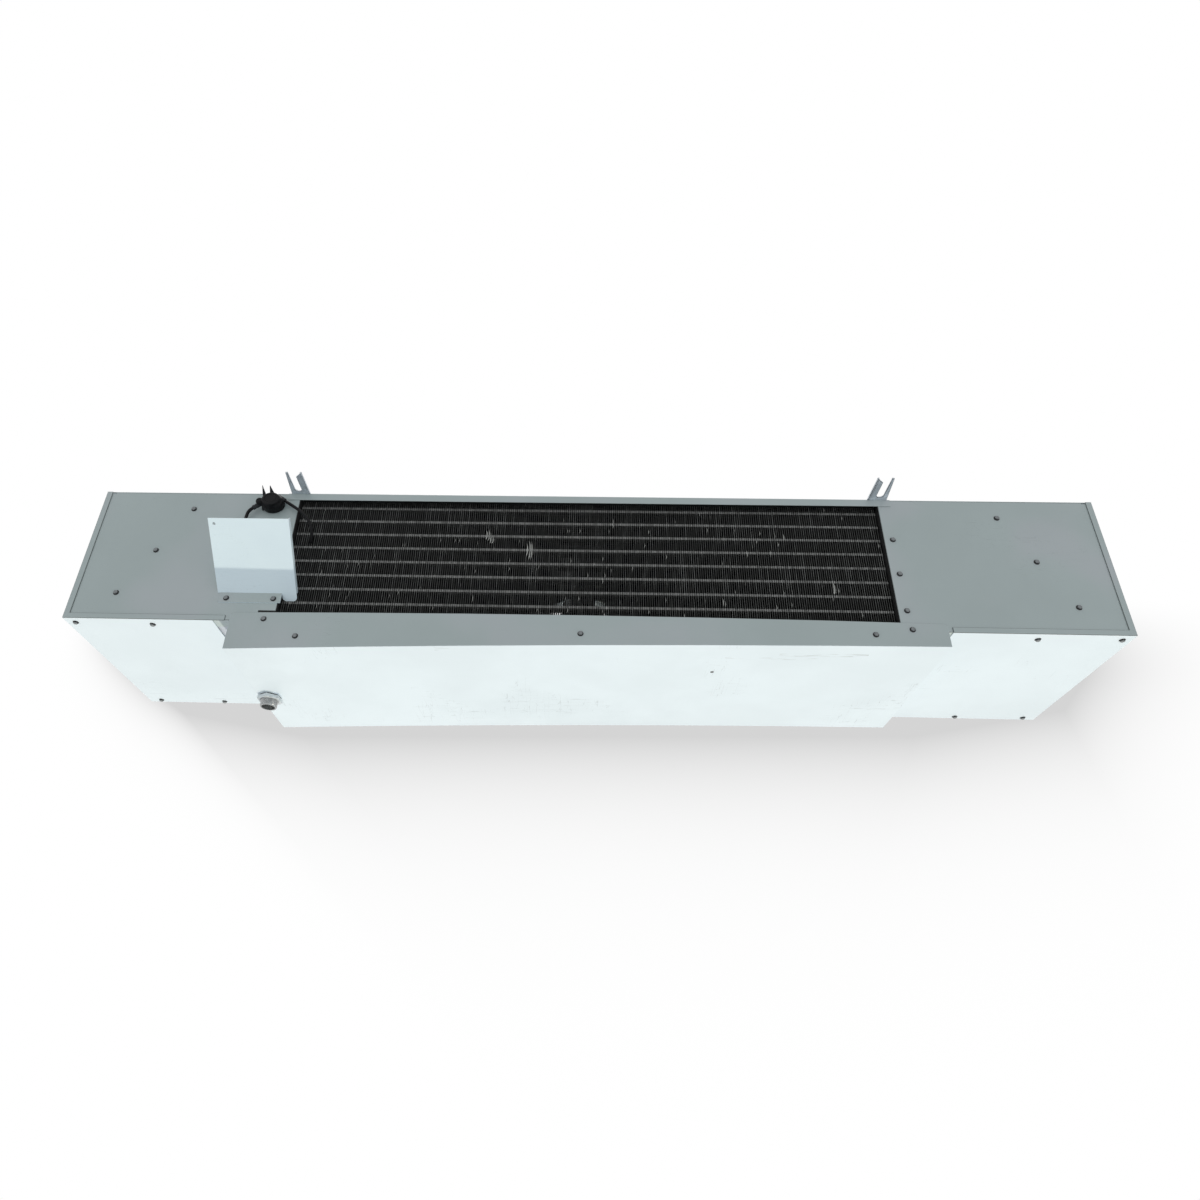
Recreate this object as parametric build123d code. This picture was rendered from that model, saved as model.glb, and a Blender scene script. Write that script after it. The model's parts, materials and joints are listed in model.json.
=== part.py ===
from build123d import *
import math
import os

# Low velocity evaporator, hung under a ceiling. Millimetres.
# +X runs along the cabinet to the right as seen from the coil face, +Y runs from the
# coil face to the fan face, +Z is up. The origin is the centre of the plane in which
# the two hangers meet the ceiling.

# Cabinet
CABINET_WIDTH = 1524.0
CABINET_DEPTH = 288.0
CABINET_HEIGHT = 233.3
SHEET = 1.2
LEFT_BAY = 311.4
RIGHT_BAY = 320.3
RETURN_DEPTH = 20.0
TOP_RETURN_DEPTH = 15.0
RAIL_HEIGHT = 12.4
RAIL_OVERLAP = 19.4
PANEL_SLOT_LENGTH = 25.4
PANEL_SLOT_RISE = (10.0, 18.1)

# End covers
COVER_FLOOR_LEFT = 222.0
COVER_FLOOR_RIGHT = 250.0
COVER_RIM_LEFT = 240.0
COVER_RIM_RIGHT = 250.0
RIM_WIDTH = 9.0
COVER_TOP_LIP = 14.0
COVER_LAP = 20.0
BRACE_WIDTH = 26.0
BRACE_DEPTH = 14.0
BRACE_LENGTH = 206.0

# Hangers
HANGER_SHEET = 2.5
SLOT_WIDTH = 10.4
SLOT_ROOT = 10.0
SLOT_OFFSET = 2.1
FORK_REACH = 48.0
FORK_TIP_SLANT = 9.5
THIN_ARM = 7.8
THIN_ARM_TAPER = 3.4
WIDE_ARM = 10.8
FORK_FLANGE = 1.5
HANGER_BOLT_RADIUS = 3.0
HANGER_BOLT_HEAD = 5.5
HANGER_BOLT_INSET = 84.0
HANGER_BOLT_OFFSET = 6.3
HOLE_CLEARANCE = 0.2

# Coil
TUBE_ROWS = 8
TUBE_DEPTH_ROWS = 3
TUBE_PITCH = 25.4
ROW_PITCH = 22.0
TUBE_RADIUS = 4.76
LOWEST_TUBE = 41.5
FIN_THICKNESS = 0.5
FIN_SPACING = 9.525
FIN_END_GAP = 1.6
FIN_RECESS = 10.6
TUBE_PROJECTION = 8.0
SHEET_FLANGE = 24.0
REAR_SHEET_FLANGE = 46.0
FIN_MARGIN = 19.05
TUBE_SIDES = 8
ROUND_SIDES = 24
BEND_RUNS = 4

# Refrigerant pipes in the right hand bay
HEADER_RADIUS = 11.1
HEADER_OFFSET = 67.0
HEADER_END = 18.0
SUCTION_RUN_RADIUS = 9.525
SUCTION_RADIUS = 11.1
LIQUID_RUN_RADIUS = 4.76
LIQUID_RADIUS = 6.35
STUB_LENGTH = 24.0
STUB_GAP = 1.0
SUCTION_HEIGHT = 62.0
LEAD_TUBE_RADIUS = 2.4
LEAD_TUBE_RUN = 26.0
LEAD_TUBE_STAGGER = 6.5
LEAD_TUBE_STEP = 5.1
DISTRIBUTOR_BACK = 50.0
DISTRIBUTOR_OFFSET = 120.0
DISTRIBUTOR_HEIGHT = 118.0
DISTRIBUTOR_RADIUS = 14.0
DISTRIBUTOR_COLLAR = 9.0
DISTRIBUTOR_CONE = 17.0
VALVE_LENGTH = 44.0
VALVE_RADIUS = 12.0
VALVE_NECK_RADIUS = 8.4
VALVE_NECK_HEIGHT = 24.0
VALVE_HEAD_RADIUS = 20.0
VALVE_HEAD_HEIGHT = 9.0
GROMMET_WALL = 3.0
GROMMET_LIP = 3.0

# Drain pan
PAN_OVERLAP = 64.0
PAN_BACK_GAP = 7.0
PAN_DROP_LEFT = 46.5
PAN_DROP_RIGHT = 23.0
PAN_BOW = 4.2
BOW_STEPS = 6
LIP_RISE = 14.0
LIP_BOW = 4.5
LIP_CORNER = 6.0
DRAIN_INSET = 17.6
DRAIN_BACK = 157.0
DRAIN_RADIUS = 13.335
DRAIN_WALL = 2.9
DRAIN_NECK = 0.5
DRAIN_REACH = 18.0
DRAIN_SEAT_RADIUS = 16.4
DRAIN_SEAT_DROP = 1.4
DRAIN_CUP = 8.0
DRAIN_FLANGE = 1.6
LOCKNUT_FLATS = 34.0
LOCKNUT_HEIGHT = 6.0
GASKET_HEIGHT = 1.5
STIFFENER_FLANGE = 30.0
STIFFENER_RISE = 9.0
STIFFENER_DROP_LEFT = 34.0
STIFFENER_DROP_RIGHT = 12.0

# Tilted cover plate on the left front panel
PLATE_OFFSET = 220.0
PLATE_WIDTH = 117.0
PLATE_LENGTH = 110.0
PLATE_TILT = 48.0
PLATE_BEND_HEIGHT = 48.0
PLATE_FLANGE = 17.0
PLATE_FLANGE_START = 3.5
PLATE_FLANGE_WIDTH = 92.0
PLATE_TAIL = 11.4
PLATE_TAIL_RADIUS = 6.0
PLATE_SIDE_LIP = 6.0
PLATE_HOLE = 2.2
PLATE_HOLE_INSET = 8.0

# Thermostat on the left front panel, with its two leads
STAT_CENTRE = 272.8
STAT_DROP = 24.9
STAT_WIDTH = 34.8
STAT_TALL = 30.4
STAT_DEEP = 18.0
STAT_WAIST = 12.0
STAT_TAPER_ANGLE = 30.0
STAT_SIDES = 14
STAT_PLATE = 1.6
STAT_PLATE_LEFT = -21.3
STAT_PLATE_RIGHT = 13.2
STAT_PLATE_FOOT = -8.6
STAT_PLATE_HEAD = 16.9
STAT_PLATE_SHOULDER = 4.0
EARS = ((-21.3, -14.3, -17.8), (-9.8, 1.2, -5.9))
EAR_LENGTH = 21.0
EAR_LEAN = 63.0
KNOB_PLACE = (-18.7, -0.7)
KNOB_RADIUS = 6.0
KNOB_DEPTH = (8.0, 15.0)
FERRULE_WALL = 1.1
FERRULE_LENGTH = 14.0
COIL_FERRULE = (18.7, 4.7)
COIL_FERRULE_TURN = -35.0
PANEL_FERRULE = (-29.4, -9.7)
PANEL_FERRULE_TURN = 220.0
LEAD_RADIUS = 2.6
LEAD_SIDES = 6
LEAD_ARC_SHARE = 0.45
LEAD_FIN_COUNT = 2
LEAD_HOLE_OFFSET = 29.8
LEAD_HOLE_DROP = 89.4
LEAD_CLEARANCE = 0.1

# Fans
FAN_COUNT = 3
FAN_RADIUS = 97.0
FAN_TIP_GAP = 4.5
FAN_BLADES = 5
BLADE_SHEET = 1.6
BLADE_CHORD = 80.0
BLADE_CAMBER = 9.0
BLADE_FLATS = 3
BLADE_ANGLE = 24.0
BLADE_ROOT = (36.0, 19.0)
BLADE_SHOULDER = (70.0, 62.0)
BLADE_TIP = 60.0
BLADE_TIP_CHORDS = 4
HUB_RADIUS = 22.0
HUB_LENGTH = 24.0
SHAFT_RADIUS = 4.0
SHAFT_CLEARANCE = 0.05
SHAFT_DEPTH = 34.0
SHAFT_END_GAP = 1.0
COLLAR_DEPTH = 22.0
COLLAR_SIDES = 40
FAN_SETBACK = 13.0
MOTOR_RADIUS = 41.0
MOTOR_LENGTH = 62.0
MOTOR_BOSS_RADIUS = 13.0
MOTOR_BOSS_LENGTH = 9.0
STRAP_SHEET = 2.0
STRAP_WIDTH = 44.0
STRAP_SETBACK = 47.0
STRAP_CLEARANCE = 1.4
GUARD_WIRE = 3.0
GUARD_RINGS = 3
GUARD_SIDES = 16
GUARD_HUB_RADIUS = 26.0
GUARD_DOME = 14.0
GUARD_MARGIN = 7.5
GUARD_SPOKES = 4

# Terminal block and cable entry in the left hand bay
ENTRY_RADIUS = 11.1
ENTRY_OFFSET = 170.0
ENTRY_HEIGHT = 60.0
BLOCK_SIZE = (18.0, 84.0, 24.0)
BLOCK_PLACE = 48.0
BLOCK_WAYS = 6
WAY_SIZE = (9.9, 10.0, 8.0)

# Sheet metal screws, whose heights are shares of the cabinet's
SCREW_FLATS = 8.4
SCREW_HEAD = 3.6
SCREW_SHANK = 2.0
SCREW_LENGTH = 7.0
SCREW_ROOM = 8.0
DIAGONAL_SCREWS = ((147.0, 0.862), (107.0, 0.523), (67.0, 0.193))
COIL_EDGE_SCREWS = (0.681, 0.419, 0.151)
COIL_EDGE_INSET = 12.6
LIP_END_INSET = 49.5
LIP_END_HEIGHT = 3.6
LIP_SCREWS = ((-414.2, -23.9), (-8.0, -11.9), (404.2, -5.5))
FLOOR_SCREWS = ((14.0, -131.5), (128.0, -129.0), (21.5, 135.5), (133.5, 137.0))
PLATE_SCREW_INSET = 11.0
PLATE_SCREW_DROP = 10.2
REAR_SCREW_ROWS = (0.857, 0.501, 0.146)

# Limits worked out from the sizes above
half_width = CABINET_WIDTH / 2
front_y = -CABINET_DEPTH / 2
back_y = CABINET_DEPTH / 2
top_z = -HANGER_SHEET
base_z = top_z - CABINET_HEIGHT
coil_left = -half_width + LEFT_BAY
coil_right = half_width - RIGHT_BAY
coil_width = coil_right - coil_left
panel_y = front_y + SHEET
panel_back_y = back_y - SHEET
inner_front_y = panel_y + SHEET
inner_back_y = panel_back_y - SHEET
shell_x = half_width - SHEET
pan_left = coil_left - PAN_OVERLAP
pan_right = coil_right + PAN_OVERLAP
sheet_base_z = base_z + 3 * SHEET
sheet_top_z = top_z - 2 * SHEET


def slab(x, y, z):
    """A flat piece between two limits on each axis."""
    size = Box(x[1] - x[0], y[1] - y[0], z[1] - z[0])
    return Pos((x[0] + x[1]) / 2, (y[0] + y[1]) / 2, (z[0] + z[1]) / 2) * size


def folded(path, thickness):
    """Closed outline of bent sheet whose face follows an open path, metal on its left side."""
    points = [Vector(*point) for point in path]
    offset = []
    for index, point in enumerate(points):
        normals = []
        for start, end in ((index - 1, index), (index, index + 1)):
            if start >= 0 and end < len(points):
                run = (points[end] - points[start]).normalized()
                normals.append(Vector(-run.Y, run.X))
        middle = sum(normals[1:], normals[0]).normalized()
        offset.append(point + middle * (thickness / middle.dot(normals[0])))
    return make_face(Polyline(*points, *reversed(offset), close=True))


def along_x(face, x):
    """A Y-Z outline drawn out along X."""
    return extrude(Plane((x[0], 0, 0), (0, 1, 0), (1, 0, 0)) * face, x[1] - x[0])


def along_y(face, y):
    """An X-Z outline drawn out along Y."""
    return extrude(Plane((0, y[1], 0), (1, 0, 0), (0, -1, 0)) * face, y[1] - y[0])


def along_z(face, z):
    """An X-Y outline drawn out along Z."""
    return extrude(Plane((0, 0, z[0])) * face, z[1] - z[0])


def rod(radius, start, end):
    """A round bar from one point to another."""
    run = Vector(*end) - Vector(*start)
    return extrude(Plane(start, z_dir=run) * Circle(radius), run.length)


def tube_bar(radius, start, end, sides=TUBE_SIDES):
    """A bar with flat sides, for the many tubes and for rounds that nothing fits."""
    run = Vector(*end) - Vector(*start)
    return extrude(Plane(start, z_dir=run) * RegularPolygon(radius, sides), run.length)


def ring_bar(outer, bore, start, end):
    """A ring with flat sides, whose bore lets a round bar through."""
    run = Vector(*end) - Vector(*start)
    hole = RegularPolygon(bore, ROUND_SIDES, major_radius=False)
    section = RegularPolygon(outer, ROUND_SIDES) - hole
    return extrude(Plane(start, z_dir=run) * section, run.length)


def outward(side, x):
    """X limits in the bay on one side, in rising order."""
    return tuple(sorted((side * x[0], side * x[1])))


def screw(x, y, z, direction):
    """A sheet metal screw whose head seats at a point and whose shank points the other way."""
    plane = Plane((x, y, z), z_dir=direction)
    head = extrude(plane * RegularPolygon(SCREW_FLATS / 2, 6, major_radius=False), SCREW_HEAD)
    shank = extrude(plane * RegularPolygon(SCREW_SHANK, 6), -SCREW_LENGTH)
    return head + shank


# Top panel with its front and rear rails
def top_panel():
    flat = slab((-shell_x, shell_x), (panel_y, panel_back_y), (top_z - SHEET, top_z))
    rail_path = [
        (back_y, top_z - RAIL_HEIGHT),
        (back_y, top_z),
        (front_y, top_z),
        (front_y, top_z - RAIL_HEIGHT),
    ]
    rails = along_x(folded(rail_path, SHEET), (coil_left - RAIL_OVERLAP, coil_right + RAIL_OVERLAP))
    holes = [
        bolt_hole(x, y, (top_z - 2 * SHEET, top_z))
        for x, y in hanger_bolt_places()
    ]
    return flat + rails - holes


# Hangers: one rail over each tube sheet, with an open fork at each end
def hanger_slot_x(side):
    if side < 0:
        return coil_left - SLOT_OFFSET
    return coil_right + SLOT_OFFSET


def hanger_bolt_places():
    places = []
    for side in (-1, 1):
        for end in (-1, 1):
            x = hanger_slot_x(side) + side * HANGER_BOLT_OFFSET
            places.append((x, end * (back_y - HANGER_BOLT_INSET)))
    return places


def bolt_hole(x, y, z):
    return tube_bar(HANGER_BOLT_RADIUS + HOLE_CLEARANCE, (x, y, z[0]), (x, y, z[1]))


def hanger(side):
    half_slot = SLOT_WIDTH / 2
    root = back_y + SLOT_ROOT
    tip = back_y + FORK_REACH
    thin = half_slot + THIN_ARM
    wide = half_slot + WIDE_ARM
    outline = Polyline(
        (-side * wide, 0),
        (-side * wide, tip),
        (-side * half_slot, tip - FORK_TIP_SLANT),
        (-side * half_slot, root),
        (side * half_slot, root),
        (side * half_slot, tip),
        (side * (half_slot + THIN_ARM_TAPER), tip),
        (side * thin, back_y),
        (side * thin, 0),
        close=True,
    )
    x = hanger_slot_x(side)
    fork = make_face(outline) - Pos(0, root) * Circle(half_slot)
    half = along_z(fork, (-HANGER_SHEET, 0))
    flange_x = tuple(sorted((-side * wide, -side * (wide - HANGER_SHEET))))
    half += slab(flange_x, (back_y + SHEET, tip), (-HANGER_SHEET - FORK_FLANGE, 0))
    rail = Pos(x, 0, 0) * (half + mirror(half, Plane.XZ))
    holes = [
        bolt_hole(bx, by, (-HANGER_SHEET, 0))
        for bx, by in hanger_bolt_places()
        if bx * side > 0
    ]
    return rail - holes


def hanger_bolts():
    bolts = []
    under = sheet_top_z - SHEET
    for x, y in hanger_bolt_places():
        shank = tube_bar(HANGER_BOLT_RADIUS, (x, y, under), (x, y, -HOLE_CLEARANCE))
        head = extrude(Plane((x, y, under)) * RegularPolygon(HANGER_BOLT_HEAD, 6), -HANGER_BOLT_HEAD)
        bolts.append(shank + head)
    return bolts


# End covers: floor, end wall, top lip and the rims round the front and rear panels
def end_cover(side):
    floor_width = COVER_FLOOR_LEFT if side < 0 else COVER_FLOOR_RIGHT
    rim_length = COVER_RIM_LEFT if side < 0 else COVER_RIM_RIGHT
    section = [
        (side * (half_width - floor_width), base_z),
        (side * half_width, base_z),
        (side * half_width, top_z - SHEET),
        (side * (half_width - COVER_TOP_LIP), top_z - SHEET),
    ]
    if side < 0:
        section.reverse()
    cover = along_y(folded(section, SHEET), (front_y, back_y))
    cover += slab(
        outward(side, (half_width - SHEET, half_width)), (front_y, back_y), (base_z, top_z)
    )
    for y in ((front_y, panel_y), (panel_back_y, back_y)):
        cover += slab(outward(side, (half_width - RIM_WIDTH, half_width)), y, (base_z, top_z))
        cover += slab(
            outward(side, (half_width - rim_length, half_width)), y, (base_z, base_z + RIM_WIDTH)
        )
    return cover


# Grey panels: a face with a return along its foot and its head
def face_panel(x, face, back):
    foot = base_z + SHEET
    head = top_z - SHEET
    inward = 1 if back > face else -1
    path = [
        (face + inward * RETURN_DEPTH, foot),
        (face, foot),
        (face, head),
        (face + inward * TOP_RETURN_DEPTH, head),
    ]
    if inward > 0:
        path.reverse()
    return along_x(folded(path, SHEET), x)


def cover_inner(side):
    """X of the inside of an end wall."""
    return side * shell_x


def front_panel(side):
    edge = coil_left if side < 0 else coil_right
    panel = face_panel(tuple(sorted((cover_inner(side), edge))), panel_y, inner_front_y)
    panel -= cover_lip_space(side)
    if side < 0:
        x, y, z = grommet_place()
        waist = LEAD_RADIUS + LEAD_CLEARANCE + GROMMET_WALL
        panel -= tube_bar(waist, (x, y - SHEET, z), (x, y + 2 * SHEET, z), ROUND_SIDES)
        slot_z = tuple(base_z + rise for rise in PANEL_SLOT_RISE)
        panel -= slab((edge - PANEL_SLOT_LENGTH, edge), (panel_y, inner_front_y), slot_z)
    return panel


def rear_panel(side):
    edge = fan_panel_edge(side)
    panel = face_panel(tuple(sorted((cover_inner(side), edge))), panel_back_y, inner_back_y)
    panel -= cover_lip_space(side)
    if side < 0:
        x, z = entry_place()
        panel -= rod(ENTRY_RADIUS, (x, inner_back_y - SHEET, z), (x, back_y, z))
    else:
        for x, z, radius in line_places():
            start = (x, inner_back_y - SHEET, z)
            panel -= tube_bar(radius + GROMMET_WALL, start, (x, back_y, z), ROUND_SIDES)
    return panel


def cover_lip_space(side):
    """Room for the end cover's top lip, which lies in the panels' head returns."""
    x = outward(side, (half_width - COVER_TOP_LIP - HOLE_CLEARANCE, half_width))
    return slab(x, (front_y, back_y), (top_z - 2 * SHEET, top_z - SHEET))


def base_plate(side):
    floor_width = COVER_FLOOR_LEFT if side < 0 else COVER_FLOOR_RIGHT
    edge = coil_left if side < 0 else coil_right
    x = tuple(sorted((edge, side * (half_width - floor_width + COVER_LAP))))
    y = (inner_front_y + SCREW_ROOM, inner_back_y)
    return slab(x, y, (base_z + 2 * SHEET, base_z + 3 * SHEET))


# Stiffener behind each front panel, along its line of three screws
def brace(side):
    outer = DIAGONAL_SCREWS[-1]
    inner = DIAGONAL_SCREWS[0]
    centre_x = side * (half_width - (outer[0] + inner[0]) / 2)
    centre_z = base_z + CABINET_HEIGHT * (outer[1] + inner[1]) / 2
    rise = CABINET_HEIGHT * (inner[1] - outer[1])
    slope = math.degrees(math.atan2(rise, -side * (inner[0] - outer[0])))
    half = BRACE_LENGTH / 2
    section = folded([(0, BRACE_WIDTH), (0, 0), (BRACE_DEPTH, 0)], SHEET)
    strip = along_x(section, (-half, half))
    lifted = Pos(0, 0, -BRACE_WIDTH / 2) * strip
    return Pos(centre_x, inner_front_y, centre_z) * Rot(0, -slope, 0) * lifted


# Fan panel between the tube sheets, with a collar round each orifice
def fan_panel_edge(side):
    edge = coil_left if side < 0 else coil_right
    return edge + side * SHEET_FLANGE


def fan_centres():
    """Fans in equal bays, midway between the rear rail and the foot of the fan panel."""
    bay = coil_width / FAN_COUNT
    z = (base_z + SHEET + top_z - RAIL_HEIGHT) / 2
    return [(coil_left + bay * (index + 0.5), z) for index in range(FAN_COUNT)]


def fan_panel():
    panel = face_panel((fan_panel_edge(-1), fan_panel_edge(1)), panel_back_y, inner_back_y)
    orifice = FAN_RADIUS + FAN_TIP_GAP
    for x, z in fan_centres():
        start = (x, inner_back_y - COLLAR_DEPTH, z)
        panel += tube_bar(orifice + SHEET, start, (x, inner_back_y, z), COLLAR_SIDES)
        panel -= tube_bar(orifice, start, (x, back_y, z), COLLAR_SIDES)
    return panel


# Coil
def tube_places():
    """Depth row, height step, Y and Z of each tube."""
    places = []
    for row in range(TUBE_DEPTH_ROWS):
        drop = TUBE_PITCH / 2 if row % 2 else 0
        for step in range(TUBE_ROWS):
            y = front_y + FIN_RECESS + ROW_PITCH * (row + 0.5)
            z = base_z + LOWEST_TUBE + TUBE_PITCH * step - drop
            places.append((row, step, y, z))
    return places


def fin_limits():
    low = base_z + LOWEST_TUBE - FIN_MARGIN
    y = front_y + FIN_RECESS
    return (y, y + ROW_PITCH * TUBE_DEPTH_ROWS), (low, low + TUBE_PITCH * TUBE_ROWS)


def fin_places():
    usable = coil_width - 2 * FIN_END_GAP - FIN_THICKNESS
    count = int(usable / FIN_SPACING) + 1
    first = (coil_left + coil_right - FIN_SPACING * (count - 1)) / 2
    return [first + FIN_SPACING * index for index in range(count)]


def coil_fins():
    y, z = fin_limits()
    half = FIN_THICKNESS / 2
    return [slab((x - half, x + half), y, z) for x in fin_places()]


def tube_end(side):
    edge = coil_left if side < 0 else coil_right
    return edge + side * (SHEET + TUBE_PROJECTION)


def coil_tubes():
    ends = [((tube_end(-1), y, z), (tube_end(1), y, z)) for row, step, y, z in tube_places()]
    return [tube_bar(TUBE_RADIUS, start, end) for start, end in ends]


def tube_sheet(side):
    edge = coil_left if side < 0 else coil_right
    web = outward(side, (abs(edge), abs(edge) + SHEET))
    flange = outward(side, (abs(edge), abs(edge) + SHEET_FLANGE))
    rear_flange = outward(side, (abs(edge), abs(edge) + REAR_SHEET_FLANGE))
    z = (sheet_base_z, sheet_top_z)
    y = (inner_front_y, inner_back_y)
    sheet = slab(web, y, z)
    sheet += slab(flange, (y[0], y[0] + SHEET), z)
    sheet += slab(rear_flange, (y[1] - SHEET, y[1]), z)
    sheet += slab(flange, (y[0] + SCREW_ROOM, y[1]), (z[0], z[0] + SHEET))
    sheet += slab(flange, y, (z[1] - SHEET, z[1]))
    for x, bolt_y in hanger_bolt_places():
        if x * side > 0:
            sheet -= bolt_hole(x, bolt_y, (z[1] - 2 * SHEET, z[1]))
    return sheet


def bend(side, first, second):
    """A half round bend that joins two tube ends."""
    start = Vector(tube_end(side), *first)
    end = Vector(tube_end(side), *second)
    middle = (start + end) / 2
    radius = (start - middle).length
    across = (start - end).normalized()
    outwards = Vector(side, 0, 0)
    reach = radius / math.cos(math.pi / BEND_RUNS / 2)
    route = [start]
    for index in range(BEND_RUNS):
        angle = (index + 0.5) * math.pi / BEND_RUNS
        route.append(middle + (across * math.cos(angle) + outwards * math.sin(angle)) * reach)
    section = Plane(start, x_dir=across, z_dir=outwards) * RegularPolygon(TUBE_RADIUS, TUBE_SIDES)
    return sweep(section, path=Polyline(*route, end), transition=Transition.RIGHT)


def places_by_step():
    return {(row, step): (y, z) for row, step, y, z in tube_places()}


def hairpin_bends():
    """Left hand bends: each joins two neighbours in one row."""
    at = places_by_step()
    bends = []
    for row in range(TUBE_DEPTH_ROWS):
        for step in range(0, TUBE_ROWS, 2):
            bends.append(bend(-1, at[row, step], at[row, step + 1]))
    return bends


def return_bends():
    """Right hand bends: they carry each circuit from one row to the next."""
    at = places_by_step()
    bends = []
    for row in range(TUBE_DEPTH_ROWS - 1):
        for step in range((row + 1) % 2, TUBE_ROWS, 2):
            bends.append(bend(1, at[row, step], at[row + 1, step]))
    return bends


def outlet_places():
    """The free tube ends of the front row."""
    at = places_by_step()
    return [at[0, step] for step in range(0, TUBE_ROWS, 2)]


def inlet_places():
    """The free tube ends of the last row."""
    at = places_by_step()
    return [at[TUBE_DEPTH_ROWS - 1, step] for step in range(TUBE_DEPTH_ROWS % 2, TUBE_ROWS, 2)]


# Suction header with its branch from each outlet
def header_x():
    return coil_right + HEADER_OFFSET


def header_bar():
    outlets = outlet_places()
    low = min(z for _, z in outlets) - HEADER_END
    high = max(z for _, z in outlets) + HEADER_END
    y = outlets[0][0]
    return tube_bar(HEADER_RADIUS, (header_x(), y, low), (header_x(), y, high))


def suction_header():
    header = header_bar()
    for y, z in outlet_places():
        header += tube_bar(TUBE_RADIUS, (tube_end(1), y, z), (header_x(), y, z))
    return header


def line_places():
    """X, Z and radius of the two pipes where they pass the right hand rear panel."""
    liquid_x = coil_right + DISTRIBUTOR_OFFSET
    return [
        (header_x(), base_z + SUCTION_HEIGHT, SUCTION_RUN_RADIUS),
        (liquid_x, base_z + DISTRIBUTOR_HEIGHT, LIQUID_RUN_RADIUS),
    ]


def line_with_stub(place, start_y, stub_radius):
    """A pipe out through its grommet, ending in a wider stub outside the cabinet."""
    x, z, radius = place
    stub_y = panel_back_y + GROMMET_LIP + STUB_GAP
    pipe = rod(radius, (x, start_y, z), (x, stub_y, z))
    return pipe + rod(stub_radius, (x, stub_y, z), (x, stub_y + STUB_LENGTH, z))


def suction_line():
    x, z, _ = line_places()[0]
    y = outlet_places()[0][0]
    return line_with_stub(line_places()[0], y, SUCTION_RADIUS) - header_bar()


# Distributor, its leads, the expansion valve and the liquid line, in one row along Y
def distributor_y():
    return inlet_places()[0][0] + DISTRIBUTOR_BACK


def valve_y():
    return distributor_y() + DISTRIBUTOR_COLLAR + DISTRIBUTOR_CONE


def distributor():
    """A collar, then a cone that narrows to the liquid line's radius."""
    x, z, _ = line_places()[1]
    y = distributor_y()
    cone_y = y + DISTRIBUTOR_COLLAR
    base = Plane((x, cone_y, z), z_dir=(0, 1, 0)) * RegularPolygon(DISTRIBUTOR_RADIUS, TUBE_SIDES)
    inset = (DISTRIBUTOR_RADIUS - LIQUID_RADIUS) * math.cos(math.pi / TUBE_SIDES)
    taper = math.degrees(math.atan2(inset, DISTRIBUTOR_CONE))
    cone = extrude(base, DISTRIBUTOR_CONE, taper=taper)
    return tube_bar(DISTRIBUTOR_RADIUS, (x, y, z), (x, cone_y, z)) + cone


def distributor_leads():
    x, z, _ = line_places()[1]
    y = distributor_y()
    leads = []
    inlets = sorted(inlet_places(), key=lambda place: place[1])
    for index, (inlet_y, inlet_z) in enumerate(inlets):
        lift = LEAD_TUBE_STEP * (index - (len(inlets) - 1) / 2)
        out = LEAD_TUBE_RUN + LEAD_TUBE_STAGGER * (index % 2)
        route = Polyline(
            (tube_end(1), inlet_y, inlet_z),
            (tube_end(1) + out, inlet_y, inlet_z),
            (x, y - LEAD_TUBE_RUN, z + lift),
            (x, y, z + lift),
        )
        section = Plane(route @ 0, z_dir=route % 0) * RegularPolygon(LEAD_TUBE_RADIUS, TUBE_SIDES)
        leads.append(sweep(section, path=route, transition=Transition.RIGHT))
    return leads


def expansion_valve():
    """Valve body with its neck and the flat diaphragm head on top."""
    x, z, _ = line_places()[1]
    y = valve_y()
    neck_y = y + VALVE_LENGTH / 2
    head_z = z + VALVE_NECK_HEIGHT
    valve = tube_bar(VALVE_RADIUS, (x, y, z), (x, y + VALVE_LENGTH, z))
    valve += tube_bar(VALVE_NECK_RADIUS, (x, neck_y, z), (x, neck_y, head_z))
    crown = (x, neck_y, head_z + VALVE_HEAD_HEIGHT)
    return valve + tube_bar(VALVE_HEAD_RADIUS, (x, neck_y, head_z), crown)


def liquid_line():
    return line_with_stub(line_places()[1], valve_y() + VALVE_LENGTH, LIQUID_RADIUS)


def ring_grommet(x, z, radius, face, inward):
    """A rubber ring whose waist sits in a hole of a panel face."""
    waist = radius + GROMMET_WALL
    far = face + inward * SHEET
    ring = ring_bar(waist, radius, (x, face, z), (x, far, z))
    for start in (face - inward * GROMMET_LIP, far):
        end = start + inward * GROMMET_LIP
        ring += ring_bar(waist + GROMMET_LIP, radius, (x, start, z), (x, end, z))
    return ring


def line_grommets():
    return [ring_grommet(x, z, radius, panel_back_y, -1) for x, z, radius in line_places()]


# Drain pan
def drain_place():
    return pan_left + DRAIN_INSET, front_y + DRAIN_BACK


def bow(share, height):
    """Rise of a bowed edge at a share of its length, in straight steps."""
    at = share * BOW_STEPS
    step = min(int(at), BOW_STEPS - 1)
    start, end = [4 * height * (i / BOW_STEPS) * (1 - i / BOW_STEPS) for i in (step, step + 1)]
    return start + (end - start) * (at - step)


def pan_share(x):
    return (x - pan_left) / (pan_right - pan_left)


def pan_steps(inset):
    """X of the points of a bowed edge of the pan, its ends drawn in by an inset."""
    step = (pan_right - pan_left) / BOW_STEPS
    between = [pan_left + step * index for index in range(1, BOW_STEPS)]
    return [pan_left + inset, *between, pan_right - inset]


def floor_z(x):
    """Height of the pan floor's underside at a given X."""
    share = pan_share(x)
    straight = PAN_DROP_LEFT + (PAN_DROP_RIGHT - PAN_DROP_LEFT) * share
    return base_z - straight + bow(share, PAN_BOW)


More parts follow.
